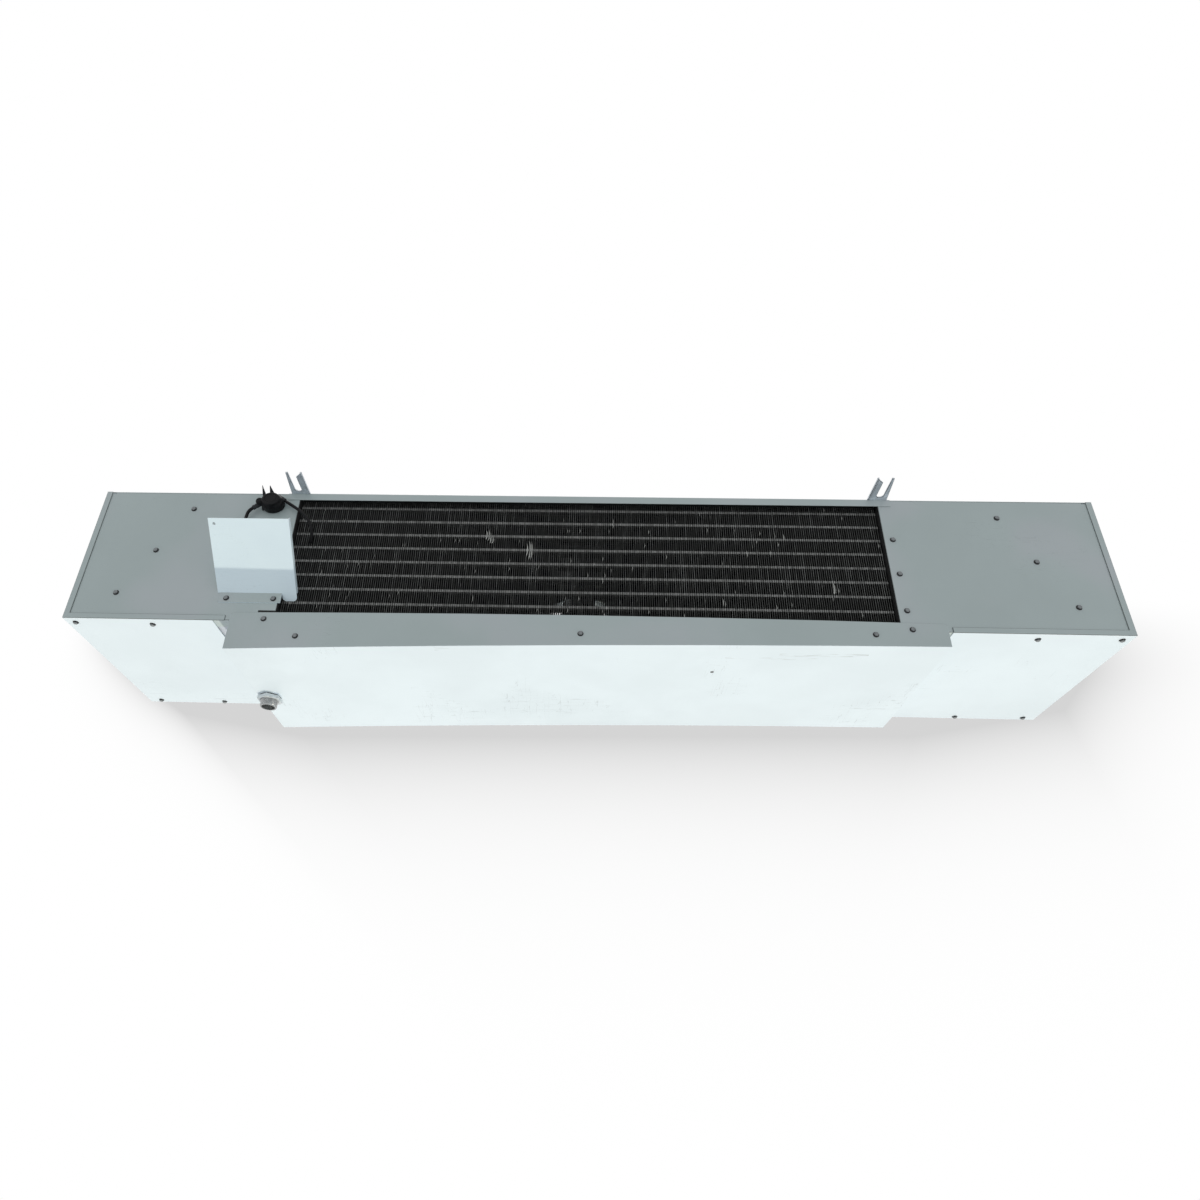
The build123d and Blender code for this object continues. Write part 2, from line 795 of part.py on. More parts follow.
def pan_outline(inset, rise):
    """The pan seen from the front, its floor bowed up a little in the middle."""
    floor = [(x, floor_z(x) + inset) for x in pan_steps(inset)]
    head = [(pan_right - inset, rise), (pan_left + inset, rise)]
    return make_face(Polyline(*floor, *head, close=True))


def lip_outline():
    left_z = base_z + LIP_RISE
    crown = [(x, left_z + bow(pan_share(x), LIP_BOW)) for x in pan_steps(0)]
    lip = make_face(Polyline(*crown, (pan_right, base_z), (pan_left, base_z), close=True))
    corners = [
        vertex
        for vertex in lip.vertices()
        if vertex.Y > base_z and min(vertex.X - pan_left, pan_right - vertex.X) < LIP_CORNER
    ]
    return fillet(corners, LIP_CORNER)


def drain_pan():
    rise = base_z + SHEET
    pan = along_y(pan_outline(0, rise), (front_y, back_y - PAN_BACK_GAP))
    x, y = drain_place()
    seat_z = floor_z(x) - DRAIN_SEAT_DROP
    cup_z = seat_z + DRAIN_CUP
    pan += tube_bar(DRAIN_SEAT_RADIUS + SHEET, (x, y, seat_z), (x, y, cup_z), ROUND_SIDES)
    pan -= along_y(pan_outline(SHEET, top_z), (panel_y, back_y - PAN_BACK_GAP - SHEET))
    pan -= tube_bar(DRAIN_SEAT_RADIUS, (x, y, seat_z + SHEET), (x, y, base_z), ROUND_SIDES)
    pan -= rod(DRAIN_RADIUS + HOLE_CLEARANCE, (x, y, seat_z - SHEET), (x, y, base_z))
    pan += along_y(lip_outline(), (front_y, panel_y))
    return pan


def drain_seat():
    x, y = drain_place()
    return x, y, floor_z(x) - DRAIN_SEAT_DROP


def drain_stub():
    """Outlet stub: a flange inside the pan, a neck through it and the outside end."""
    x, y, z = drain_seat()
    inside = (x, y, z + SHEET)
    top = (x, y, z + SHEET + DRAIN_FLANGE)
    end = (x, y, z - DRAIN_REACH)
    shoulder = (x, y, z - GASKET_HEIGHT - LOCKNUT_HEIGHT)
    stub = rod(DRAIN_RADIUS, end, shoulder)
    stub += tube_bar(DRAIN_RADIUS - DRAIN_NECK, shoulder, top, ROUND_SIDES)
    stub += tube_bar(DRAIN_SEAT_RADIUS - HOLE_CLEARANCE, inside, top, ROUND_SIDES)
    return stub - rod(DRAIN_RADIUS - DRAIN_WALL, end, top)


def drain_gasket():
    x, y, z = drain_seat()
    start = (x, y, z - GASKET_HEIGHT)
    return ring_bar(DRAIN_SEAT_RADIUS, DRAIN_RADIUS + HOLE_CLEARANCE, start, (x, y, z))


def drain_locknut():
    x, y, z = drain_seat()
    top = z - GASKET_HEIGHT
    flats = RegularPolygon(LOCKNUT_FLATS / 2, 6, major_radius=False, rotation=30)
    bore = RegularPolygon(DRAIN_RADIUS + HOLE_CLEARANCE, ROUND_SIDES, major_radius=False)
    return along_z(Pos(x, y) * (flats - bore), (top - LOCKNUT_HEIGHT, top))


def lip_stiffener():
    """Angle behind the lip, whose lower edge keeps clear of the sloping floor."""
    face = make_face(
        Polyline(
            (coil_left, base_z - STIFFENER_DROP_LEFT),
            (coil_right, base_z - STIFFENER_DROP_RIGHT),
            (coil_right, base_z + STIFFENER_RISE),
            (coil_left, base_z + STIFFENER_RISE),
            close=True,
        )
    )
    angle = along_y(face, (panel_y, inner_front_y))
    z = (base_z + STIFFENER_RISE - SHEET, base_z + STIFFENER_RISE)
    return angle + slab((coil_left, coil_right), (panel_y, panel_y + STIFFENER_FLANGE), z)


# Tilted cover plate
def cover_plate():
    left = -half_width + PLATE_OFFSET
    bend_z = base_z + PLATE_BEND_HEIGHT
    outline = make_face(
        Polyline(
            (0, 0),
            (PLATE_FLANGE_START + PLATE_FLANGE_WIDTH, 0),
            (PLATE_FLANGE_START + PLATE_FLANGE_WIDTH, -PLATE_TAIL),
            (PLATE_WIDTH, -PLATE_TAIL),
            (PLATE_WIDTH, PLATE_LENGTH),
            (0, PLATE_LENGTH),
            close=True,
        )
    )
    tail = [vertex for vertex in outline.vertices() if vertex.Y < -PLATE_TAIL / 2]
    outline = fillet(tail, PLATE_TAIL_RADIUS)
    outline -= Pos(PLATE_HOLE_INSET, PLATE_LENGTH - PLATE_HOLE_INSET) * Circle(PLATE_HOLE)
    blade = along_y(outline, (-SHEET, 0))
    blade += slab((PLATE_WIDTH - SHEET, PLATE_WIDTH), (-SHEET, PLATE_SIDE_LIP), (0, PLATE_LENGTH))
    flange_x = (left + PLATE_FLANGE_START, left + PLATE_FLANGE_START + PLATE_FLANGE_WIDTH)
    flange = slab(flange_x, (front_y, panel_y), (bend_z - PLATE_FLANGE, bend_z))
    return Pos(left, panel_y, bend_z) * Rot(PLATE_TILT, 0, 0) * blade + flange


# Thermostat: a moulded body on a forked back plate
def stat_place():
    return -half_width + STAT_CENTRE, top_z - STAT_DROP


def thermostat_bracket():
    """Plate behind the body, with two pointed ears bent forward over it."""
    x, z = stat_place()
    left = x + STAT_PLATE_LEFT
    right = x + STAT_PLATE_RIGHT
    head = z + STAT_PLATE_HEAD
    foot = z + STAT_PLATE_FOOT
    ear_end = x + EARS[-1][1]
    plate = make_face(
        Polyline(
            (left + STAT_PLATE_SHOULDER, foot),
            (right, foot),
            (right, z + STAT_PLATE_SHOULDER),
            (ear_end, head),
            (left, head),
            (left, z + STAT_PLATE_SHOULDER),
            close=True,
        )
    )
    bracket = along_y(plate, (panel_y - STAT_PLATE, panel_y))
    for root_start, root_end, tip in EARS:
        outline = make_face(Polyline((root_start, 0), (root_end, 0), (tip, EAR_LENGTH), close=True))
        ear = along_y(outline, (-STAT_PLATE, 0))
        bracket += Pos(x, panel_y, head) * Rot(EAR_LEAN, 0, 0) * ear
    return bracket


def thermostat():
    """A rounded body that narrows at its front, a knob and the sleeves of both leads."""
    x, z = stat_place()
    outline = []
    for index in range(STAT_SIDES):
        angle = 2 * math.pi * index / STAT_SIDES
        outline.append((x + STAT_WIDTH / 2 * math.cos(angle), z + STAT_TALL / 2 * math.sin(angle)))
    face = make_face(Polyline(*outline, close=True))
    back = panel_y - STAT_PLATE
    body = along_y(face, (back - STAT_WAIST, back))
    nose = Plane((0, back - STAT_WAIST, 0), (1, 0, 0), (0, -1, 0)) * face
    body += extrude(nose, STAT_DEEP - STAT_WAIST, taper=STAT_TAPER_ANGLE)
    knob_x = x + KNOB_PLACE[0]
    knob_z = z + KNOB_PLACE[1]
    knob_start = (knob_x, back - KNOB_DEPTH[0], knob_z)
    body += tube_bar(KNOB_RADIUS, knob_start, (knob_x, back - KNOB_DEPTH[1], knob_z), STAT_SIDES)
    body += ferrule(COIL_FERRULE, COIL_FERRULE_TURN)
    return body + ferrule(PANEL_FERRULE, PANEL_FERRULE_TURN)


def ferrule_end(place):
    """Where a lead leaves its sleeve, halfway through the body's straight part."""
    x, z = stat_place()
    return x + place[0], panel_y - STAT_PLATE - STAT_WAIST / 2, z + place[1]


def along_ferrule(place, turn, reach):
    """A point before or past the sleeve's end, on the sleeve's own line."""
    x, y, z = ferrule_end(place)
    angle = math.radians(turn)
    return x + reach * math.cos(angle), y, z + reach * math.sin(angle)


def ferrule(place, turn):
    start = along_ferrule(place, turn, -FERRULE_LENGTH)
    return tube_bar(LEAD_RADIUS + FERRULE_WALL, start, ferrule_end(place))


def lead(points, radii):
    """A round lead on straight runs joined by tangent arcs."""
    route = FilletPolyline(*points, radius=radii)
    section = Plane(route @ 0, z_dir=route % 0) * RegularPolygon(LEAD_RADIUS, LEAD_SIDES)
    tube = sweep(section, path=route)
    share = round(tube.volume / (section.area * route.length), 4)
    print("lead length", round(route.length, 1), "radii", radii, "volume share", share)
    return tube


def tangent_radii(points):
    """The largest arcs that the runs allow, each over a share of its shorter run."""
    radii = []
    for before, corner, after in zip(points, points[1:], points[2:]):
        first = Vector(*corner) - Vector(*before)
        second = Vector(*after) - Vector(*corner)
        turn = math.radians(first.get_angle(second))
        tangent = LEAD_ARC_SHARE * min(first.length, second.length)
        radii.append(round(tangent / math.tan(turn / 2), 2))
    return radii


def grommet_place():
    """Where the panel lead leaves the left front panel, behind the cover plate."""
    x, z = stat_place()
    return x - LEAD_HOLE_OFFSET, panel_y, z - LEAD_HOLE_DROP


def coil_lead():
    """From the body's right side down into the gap between two fins."""
    x, y, z = ferrule_end(COIL_FERRULE)
    gap = (fin_places()[LEAD_FIN_COUNT] + fin_places()[LEAD_FIN_COUNT + 1]) / 2
    entry = front_y + FIN_RECESS
    points = [
        (x, y, z),
        along_ferrule(COIL_FERRULE, COIL_FERRULE_TURN, 20),
        (x + 34, y - 1.5, z - 24.8),
        (x + 46, y + 0.4, z - 40.8),
        (x + 50, y + 3.9, z - 53.3),
        (x + 49, y + 10.9, z - 62.3),
        (gap, entry - 1.1, z - 65.8),
        (gap, entry + 4, z - 66.8),
    ]
    return lead(points, tangent_radii(points))


def panel_lead():
    """From the grommet behind the cover plate up to the sleeve beside the knob."""
    x, y, z = grommet_place()
    points = [
        (x, y + 9, z),
        (x, y - 10, z),
        (x - 1.5, y - 16, z + 14),
        (x - 4.5, y - 12, z + 36),
        (x - 6.2, y - 8.6, z + 60),
        along_ferrule(PANEL_FERRULE, PANEL_FERRULE_TURN, 8),
        ferrule_end(PANEL_FERRULE),
    ]
    return lead(points, tangent_radii(points))


def lead_grommet():
    x, y, z = grommet_place()
    return ring_grommet(x, z, LEAD_RADIUS + LEAD_CLEARANCE, panel_y, 1)


# Fans
def fan_hub_y():
    return inner_back_y - FAN_SETBACK


def blade_section():
    """A thin sheet bent to flats along its camber, seen along the fan's radius."""
    shares = [index / BLADE_FLATS for index in range(BLADE_FLATS + 1)]
    path = [(BLADE_CHORD * (share - 0.5), 4 * BLADE_CAMBER * share * (1 - share)) for share in shares]
    return Rot(0, 0, BLADE_ANGLE) * Pos(0, -BLADE_CAMBER / 2) * folded(path, BLADE_SHEET)


def blade_outline():
    """The blade seen along the shaft: narrow at the hub, its tip round about the shaft."""
    tip = []
    for index in range(BLADE_TIP_CHORDS + 1):
        x = BLADE_TIP * (index / BLADE_TIP_CHORDS - 0.5)
        tip.append((x, math.sqrt(FAN_RADIUS**2 - x**2)))
    edge = [
        (BLADE_SHOULDER[0] / 2, BLADE_SHOULDER[1]),
        (BLADE_ROOT[0] / 2, BLADE_ROOT[1]),
        (-BLADE_ROOT[0] / 2, BLADE_ROOT[1]),
        (-BLADE_SHOULDER[0] / 2, BLADE_SHOULDER[1]),
    ]
    return make_face(Polyline(*tip, *edge, close=True))


def fan_blade(x, z):
    sheet = extrude(Plane((0, 0, BLADE_ROOT[1])) * blade_section(), FAN_RADIUS)
    blade = sheet & along_y(blade_outline(), (-HUB_LENGTH, HUB_LENGTH))
    half = HUB_LENGTH / 2
    wheel = tube_bar(HUB_RADIUS, (0, -half, 0), (0, half, 0), ROUND_SIDES)
    for index in range(FAN_BLADES):
        wheel += Rot(0, 360 / FAN_BLADES * index, 0) * blade
    wheel -= rod(SHAFT_RADIUS, (0, -half, 0), (0, half, 0))
    return Pos(x, fan_hub_y() - half, z) * wheel


def motor_face_y():
    return inner_back_y - STRAP_SETBACK - STRAP_SHEET


def fan_shaft(x, z):
    return rod(SHAFT_RADIUS, (x, motor_face_y() - SHAFT_DEPTH, z), (x, fan_hub_y(), z))


def fan_motor(x, z):
    face = motor_face_y()
    nose = (x, face + MOTOR_BOSS_LENGTH, z)
    body = tube_bar(MOTOR_RADIUS, (x, face - MOTOR_LENGTH, z), (x, face, z), ROUND_SIDES)
    body += tube_bar(MOTOR_BOSS_RADIUS, (x, face, z), nose, ROUND_SIDES)
    bore_end = (x, face - SHAFT_DEPTH - SHAFT_END_GAP, z)
    return body - rod(SHAFT_RADIUS + SHAFT_CLEARANCE, bore_end, nose)


def motor_bracket(x, z):
    """A strap behind the fan, its two arms on the returns of the fan panel."""
    face = motor_face_y()
    path = [
        (inner_back_y, sheet_top_z),
        (face, sheet_top_z),
        (face, base_z + 2 * SHEET),
        (inner_back_y, base_z + 2 * SHEET),
    ]
    half = STRAP_WIDTH / 2
    strap = along_x(folded(path, STRAP_SHEET), (x - half, x + half))
    hole = MOTOR_BOSS_RADIUS + STRAP_CLEARANCE
    return strap - tube_bar(hole, (x, face - STRAP_SHEET, z), (x, face + 2 * STRAP_SHEET, z))


def guard_radius():
    return FAN_RADIUS + FAN_TIP_GAP + GUARD_MARGIN


def guard_ring(radius, y):
    """A ring of many short straights, its wire square."""
    inner = RegularPolygon(radius - GUARD_WIRE, GUARD_SIDES)
    return along_y(RegularPolygon(radius, GUARD_SIDES) - inner, y)


def fan_guard(x, z):
    """Concentric rings on bent spokes, flat in the middle and seated on the fan panel."""
    outer = guard_radius()
    wire = GUARD_WIRE
    shoulder = outer - GUARD_DOME - wire
    crown = GUARD_DOME + wire
    guard = guard_ring(outer, (0, wire))
    for index in range(GUARD_RINGS):
        radius = GUARD_HUB_RADIUS + (shoulder - GUARD_HUB_RADIUS) * index / (GUARD_RINGS - 1)
        guard += guard_ring(radius, (GUARD_DOME, crown))
    path = [(GUARD_HUB_RADIUS - wire, crown), (shoulder, crown), (outer - wire, wire)]
    spoke = extrude(folded(path, -wire), wire / 2, both=True)
    for index in range(GUARD_SPOKES):
        guard += Rot(0, 360 / GUARD_SPOKES * (index + 0.5), 0) * spoke
    return Pos(x, panel_back_y, z) * guard


# Terminal block on the left hand tube sheet
def entry_place():
    return -half_width + ENTRY_OFFSET, base_z + ENTRY_HEIGHT


def terminal_block():
    """A moulded strip whose ways are cut up from its foot."""
    depth, length, height = BLOCK_SIZE
    way_depth, way_width, way_height = WAY_SIZE
    right = coil_left - SHEET
    front = BLOCK_PLACE - length / 2
    foot = base_z + (CABINET_HEIGHT - height) / 2
    block = slab((right - depth, right), (front, front + length), (foot, foot + height))
    for index in range(BLOCK_WAYS):
        way_y = front + (length * (index + 0.5)) / BLOCK_WAYS
        y = (way_y - way_width / 2, way_y + way_width / 2)
        block -= slab((right - depth, right - depth + way_depth), y, (foot, foot + way_height))
    return block


# Screws, in groups of like ones
def panel_screws():
    screws = []
    for side in (-1, 1):
        for inset, share in DIAGONAL_SCREWS:
            z = base_z + CABINET_HEIGHT * share
            screws.append(screw(side * (half_width - inset), panel_y, z, (0, -1, 0)))
    for share in COIL_EDGE_SCREWS:
        z = base_z + CABINET_HEIGHT * share
        screws.append(screw(coil_right + COIL_EDGE_INSET, panel_y, z, (0, -1, 0)))
    return screws


def plate_screws():
    left = -half_width + PLATE_OFFSET + PLATE_FLANGE_START
    z = base_z + PLATE_BEND_HEIGHT - PLATE_SCREW_DROP
    places = (left + PLATE_SCREW_INSET, left + PLATE_FLANGE_WIDTH - PLATE_SCREW_INSET)
    return [screw(x, front_y, z, (0, -1, 0)) for x in places]


def lip_screws():
    ends = [(pan_left + LIP_END_INSET, LIP_END_HEIGHT), (pan_right - LIP_END_INSET, LIP_END_HEIGHT)]
    return [screw(x, front_y, base_z + z, (0, -1, 0)) for x, z in (*ends, *LIP_SCREWS)]


def floor_screws():
    screws = []
    for side in (-1, 1):
        for inset, y in FLOOR_SCREWS:
            screws.append(screw(side * (half_width - inset), y, base_z, (0, 0, -1)))
    return screws


def rear_screws():
    screws = []
    for side in (-1, 1):
        for share in REAR_SCREW_ROWS:
            for offset in (-COIL_EDGE_INSET, REAR_SHEET_FLANGE - SHEET_FLANGE - COIL_EDGE_INSET):
                x = fan_panel_edge(side) + side * offset
                screws.append(screw(x, panel_back_y, base_z + CABINET_HEIGHT * share, (0, 1, 0)))
    return screws


def save(name, shape):
    """Write one node, as one solid or as a group of separate solids."""
    if isinstance(shape, (list, tuple)):
        shape = Compound(children=[solid for item in shape for solid in item.solids()])
    export_step(shape, f"parts/{name}.step")


def main():
    os.makedirs("parts", exist_ok=True)
    sides = (("left", -1), ("right", 1))
    paired = {
        "hanger": hanger,
        "end_cover": end_cover,
        "front_panel": front_panel,
        "rear_panel": rear_panel,
        "base_plate": base_plate,
        "brace": brace,
        "tube_sheet": tube_sheet,
    }
    for label, maker in paired.items():
        for side_name, side in sides:
            save(f"{side_name}_{label}", maker(side))
    single = {
        "top_panel": top_panel,
        "hanger_bolts": hanger_bolts,
        "fan_panel": fan_panel,
        "coil_fins": coil_fins,
        "coil_tubes": coil_tubes,
        "hairpin_bends": hairpin_bends,
        "return_bends": return_bends,
        "suction_header": suction_header,
        "suction_line": suction_line,
        "distributor": distributor,
        "distributor_leads": distributor_leads,
        "expansion_valve": expansion_valve,
        "liquid_line": liquid_line,
        "line_grommets": line_grommets,
        "drain_pan": drain_pan,
        "lip_stiffener": lip_stiffener,
        "drain_stub": drain_stub,
        "drain_gasket": drain_gasket,
        "drain_locknut": drain_locknut,
        "cover_plate": cover_plate,
        "thermostat": thermostat,
        "thermostat_bracket": thermostat_bracket,
        "coil_lead": coil_lead,
        "panel_lead": panel_lead,
        "lead_grommet": lead_grommet,
        "terminal_block": terminal_block,
        "panel_screws": panel_screws,
        "plate_screws": plate_screws,
        "lip_screws": lip_screws,
        "floor_screws": floor_screws,
        "rear_screws": rear_screws,
    }
    for label, maker in single.items():
        save(label, maker())
    fan_parts = {
        "fan_blade": fan_blade,
        "fan_shaft": fan_shaft,
        "fan_motor": fan_motor,
        "motor_bracket": motor_bracket,
        "fan_guard": fan_guard,
    }
    fan_names = ["left", "middle", "right"]
    for label, maker in fan_parts.items():
        for name, (x, z) in zip(fan_names, fan_centres()):
            save(f"{label}_{name}", maker(x, z))


main()
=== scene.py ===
import json
import math

import bmesh
import bpy
from bpy.props import FloatProperty, FloatVectorProperty, IntProperty, PointerProperty
from bpy.types import Operator, Panel, PropertyGroup
from mathutils import Euler, Matrix, Vector

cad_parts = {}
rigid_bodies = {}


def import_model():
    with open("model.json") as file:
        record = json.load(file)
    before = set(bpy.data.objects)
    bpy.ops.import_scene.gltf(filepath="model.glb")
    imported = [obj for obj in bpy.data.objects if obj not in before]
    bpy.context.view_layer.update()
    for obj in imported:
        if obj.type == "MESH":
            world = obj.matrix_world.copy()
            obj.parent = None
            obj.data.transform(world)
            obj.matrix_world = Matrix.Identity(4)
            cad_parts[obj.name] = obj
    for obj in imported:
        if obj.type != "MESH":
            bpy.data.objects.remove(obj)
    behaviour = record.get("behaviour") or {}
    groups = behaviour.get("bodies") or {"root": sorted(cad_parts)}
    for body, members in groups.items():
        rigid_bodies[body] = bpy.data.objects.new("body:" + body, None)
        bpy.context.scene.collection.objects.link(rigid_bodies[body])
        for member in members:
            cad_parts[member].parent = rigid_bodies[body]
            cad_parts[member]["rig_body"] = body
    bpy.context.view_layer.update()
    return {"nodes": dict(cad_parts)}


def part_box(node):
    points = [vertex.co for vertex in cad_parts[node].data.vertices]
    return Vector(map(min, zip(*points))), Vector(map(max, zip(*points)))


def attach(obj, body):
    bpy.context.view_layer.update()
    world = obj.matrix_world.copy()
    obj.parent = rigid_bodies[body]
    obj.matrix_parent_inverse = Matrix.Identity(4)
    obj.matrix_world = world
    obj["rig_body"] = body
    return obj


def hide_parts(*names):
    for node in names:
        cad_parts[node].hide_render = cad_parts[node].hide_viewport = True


bl_info = {
    "name": "Low Velocity Evaporator",
    "version": (1, 0, 0),
    "blender": (4, 5, 0),
    "location": "3D View > Sidebar > Evaporator",
    "description": "Dresses the packed evaporator: sheets, coil, fans, screws, leads and stage",
    "category": "Object",
}

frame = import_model()
NODES = frame["nodes"]
MM = 0.001

SIDES = ("left", "right")
FANS = ("left", "middle", "right")
FRONT = (0.0, -1.0, 0.0)
REAR = (0.0, 1.0, 0.0)
UP = (0.0, 0.0, 1.0)
DOWN = (0.0, 0.0, -1.0)


def length(label, about, value):
    return FloatProperty(name=label, description=about, default=value, unit="LENGTH")


def colour(label, about, value):
    return FloatVectorProperty(
        name=label, description=about, subtype="COLOR", min=0.0, max=1.0, default=value
    )


class EvaporatorSizes(PropertyGroup):
    sheet_edge: length("Sheet Edge", "Rounding of the sheet metal's edges", 0.00045)
    fin_pitch: length("Fin Pitch", "Distance from one fin to the next", 0.003175)
    fin_thickness: length("Fin Thickness", "Thickness of a fin at its edge", 0.0004)
    fin_lean: length("Fin Lean", "How far fin edges stray sideways", 0.0007)
    guard_wire: length("Guard Wire", "Diameter of the guard's wire", 0.0026)
    guard_rings: IntProperty(
        name="Guard Rings", description="Rings on the face of a guard", default=9
    )
    screw_washer: length("Screw Washer", "Radius of the washer under a screw head", 0.0044)
    screw_flats: length("Screw Flats", "Screw head across its flats", 0.0058)
    screw_height: length("Screw Height", "Height of a screw head on its washer", 0.0028)
    thread_pitch: length("Thread Pitch", "Pitch of the drain stub's thread", 0.00181)
    blade_twist: FloatProperty(
        name="Blade Twist",
        description="Extra pitch of a fan blade at its root",
        default=math.radians(9),
        subtype="ANGLE",
    )


class EvaporatorColours(PropertyGroup):
    white_paint: colour("White Paint", "Enamel of the underside, the ends and the plate", (0.78, 0.86, 0.92))
    # grey_paint: the grey enamel of the panels, and also the painted shade on the front and rear faces of the
    # white pieces
    grey_paint: colour("Grey Paint", "Enamel of the faces", (0.487, 0.552, 0.548))
    # fin: the near-black colour of the fins
    fin: colour("Fins", "Dark coating of the fins", (0.015, 0.015, 0.0145))
    tube: colour("Tubes", "Fin collars round the tubes", (0.07, 0.069, 0.066))
    zinc: colour("Zinc", "Galvanised sheet and plated screws", (0.50, 0.54, 0.57))
    copper: colour("Copper", "Drawn copper pipe", (0.62, 0.30, 0.17))
    rubber: colour("Rubber", "Moulded rubber and black plastic", (0.009, 0.009, 0.010))


def sizes():
    return bpy.context.scene.evaporator_sizes


def colours():
    return bpy.context.scene.evaporator_colours


# Pieces
def new_object(name, mesh):
    thing = bpy.data.objects.new(name, mesh)
    bpy.context.scene.collection.objects.link(thing)
    return thing


def settle(thing, body, slot, *nodes):
    """The finished piece rides on its body and stands for its CAD nodes; slot is not used."""
    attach(thing, body)
    if nodes:
        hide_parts(*nodes)


def soften(mesh, angle=30.0):
    mesh.shade_smooth()
    mesh.set_sharp_from_angle(angle=math.radians(angle))


def evaluated(thing):
    bpy.context.view_layer.update()
    graph = bpy.context.evaluated_depsgraph_get()
    return bpy.data.meshes.new_from_object(thing.evaluated_get(graph))


def baked(thing):
    """The piece with its modifiers worked into a plain mesh."""
    mesh = evaluated(thing)
    mesh.name = thing.name
    thing.modifiers.clear()
    thing.data = mesh
    return thing


def to_mesh(shape, name):
    mesh = bpy.data.meshes.new(name)
    shape.to_mesh(mesh)
    shape.free()
    return mesh


def finish_of(thing, *names):
    """Fill the material slots in order; faces keep the slots that they point at."""
    slots = thing.data.materials
    while len(slots) > len(names):
        slots.pop()
    while len(slots) < len(names):
        slots.append(None)
    for index, name in enumerate(names):
        slots[index] = finishes[name].material


def made(name, shape, finish, angle, body, slot, *nodes):
    """A whole piece from its shape."""
    piece = new_object(name, to_mesh(shape, name))
    finish_of(piece, finish)
    soften(piece.data, angle)
    settle(piece, body, slot, *nodes)


def merged(node):
    """A copy of a CAD node's triangles with their corners joined."""
    shape = bmesh.new()
    shape.from_mesh(NODES[node].data)
    bmesh.ops.remove_doubles(shape, verts=shape.verts, dist=1e-6)
    return shape


def solids_of(node):
    """Low and high corner of each separate solid in a CAD node."""
    shape = merged(node)
    seen = set()
    found = []
    for start in shape.verts:
        if start in seen:
            continue
        group = [start]
        seen.add(start)
        for vert in group:
            for edge in vert.link_edges:
                other = edge.other_vert(vert)
                if other not in seen:
                    seen.add(other)
                    group.append(other)
        low = Vector([min(vert.co[axis] for vert in group) for axis in range(3)])
        high = Vector([max(vert.co[axis] for vert in group) for axis in range(3)])
        found.append((low, high))
    shape.free()
    return found


def on_circle(radius, step, steps, height):
    angle = 2 * math.pi * step / steps
    return Vector((radius * math.cos(angle), radius * math.sin(angle), height))


def bridge(shape, rings, steps):
    """Faces from each ring of corners to the next; a ring of one corner is a tip."""
    for lower, upper in zip(rings, rings[1:]):
        for step in range(steps):
            after = (step + 1) % steps
            corners = [lower[at % len(lower)] for at in (step, after)]
            corners += [upper[at % len(upper)] for at in (after, step)]
            face = list(dict.fromkeys(corners))
            if len(face) > 2:
                shape.faces.new(face)


def lathe(profile, steps, place, axis):
    """A closed solid turned from (radius, height) points about an axis through a place."""
    shape = bmesh.new()
    turn = Vector(UP).rotation_difference(Vector(axis))
    rings = []
    for radius, height in profile:
        count = steps if radius > 1e-7 else 1
        spots = [on_circle(radius, step, steps, height) for step in range(count)]
        rings.append([shape.verts.new(Vector(place) + turn @ spot) for spot in spots])
    bridge(shape, rings, steps)
    for ring in (rings[0][::-1], rings[-1]):
        if len(ring) > 1:
            shape.faces.new(ring)
    bmesh.ops.recalc_face_normals(shape, faces=shape.faces[:])
    return shape


def in_metres(profile):
    return [tuple(value * MM for value in point) for point in profile]


# Node trees
class Value:
    """An output in a node tree; each sign and each call of math adds one Math node."""

    def __init__(self, tree, socket):
        self.tree = tree
        self.socket = socket

    def math(self, operation, *others):
        feeds = dict(enumerate((self, *others)))
        return put(self.tree, "ShaderNodeMath", 0, feeds, operation=operation)

    def __add__(self, other):
        return self.math("ADD", other)

    def __sub__(self, other):
        return self.math("SUBTRACT", other)

    def __rsub__(self, other):
        return self.math("MULTIPLY", -1.0) + other

    def __mul__(self, other):
        return self.math("MULTIPLY", other)

    def __truediv__(self, other):
        return self.math("DIVIDE", other)

    def most(self, other):
        return self.math("MAXIMUM", other)

    def ramp(self, low, high, start=0.0, end=1.0):
        """Its share between two limits, clamped and eased."""
        feeds = {0: self, 1: low, 2: high, 3: start, 4: end}
        return put(self.tree, "ShaderNodeMapRange", 0, feeds, interpolation_type="SMOOTHSTEP")


def place_node(tree, kind, feeds, **settings):
    node = tree.nodes.new(kind)
    for name, value in settings.items():
        setattr(node, name, value)
    for key, value in feeds.items():
        if isinstance(value, Value):
            tree.links.new(value.socket, node.inputs[key])
        else:
            node.inputs[key].default_value = value
    return node


def put(tree, kind, output=0, feeds=None, **settings):
    """One output of a new node."""
    return Value(tree, place_node(tree, kind, feeds or {}, **settings).outputs[output])


def grow(tree, kind, **feeds):
    """The first output of a new geometry node; underscores stand for spaces in socket names."""
    feeds = {name.replace("_", " "): value for name, value in feeds.items()}
    return put(tree, f"GeometryNode{kind}", 0, feeds)


def spread(tree, points, instance, **feeds):
    """A copy of a shape on each of the points."""
    return grow(tree, "InstanceOnPoints", Points=points, Instance=instance, **feeds)


def vector(tree, x=0.0, y=0.0, z=0.0):
    return put(tree, "ShaderNodeCombineXYZ", 0, {0: x, 1: y, 2: z})


def axes(tree, place):
    node = place_node(tree, "ShaderNodeSeparateXYZ", {0: place})
    return [Value(tree, socket) for socket in node.outputs]


def object_place(tree):
    return put(tree, "ShaderNodeTexCoord", "Object")


def stretched(tree, scale, turn=(0.0, 0.0, 0.0)):
    """Object coordinates scaled and turned for a pattern that runs one way."""
    feeds = {"Vector": object_place(tree), "Rotation": turn, "Scale": scale}
    return put(tree, "ShaderNodeMapping", 0, feeds)


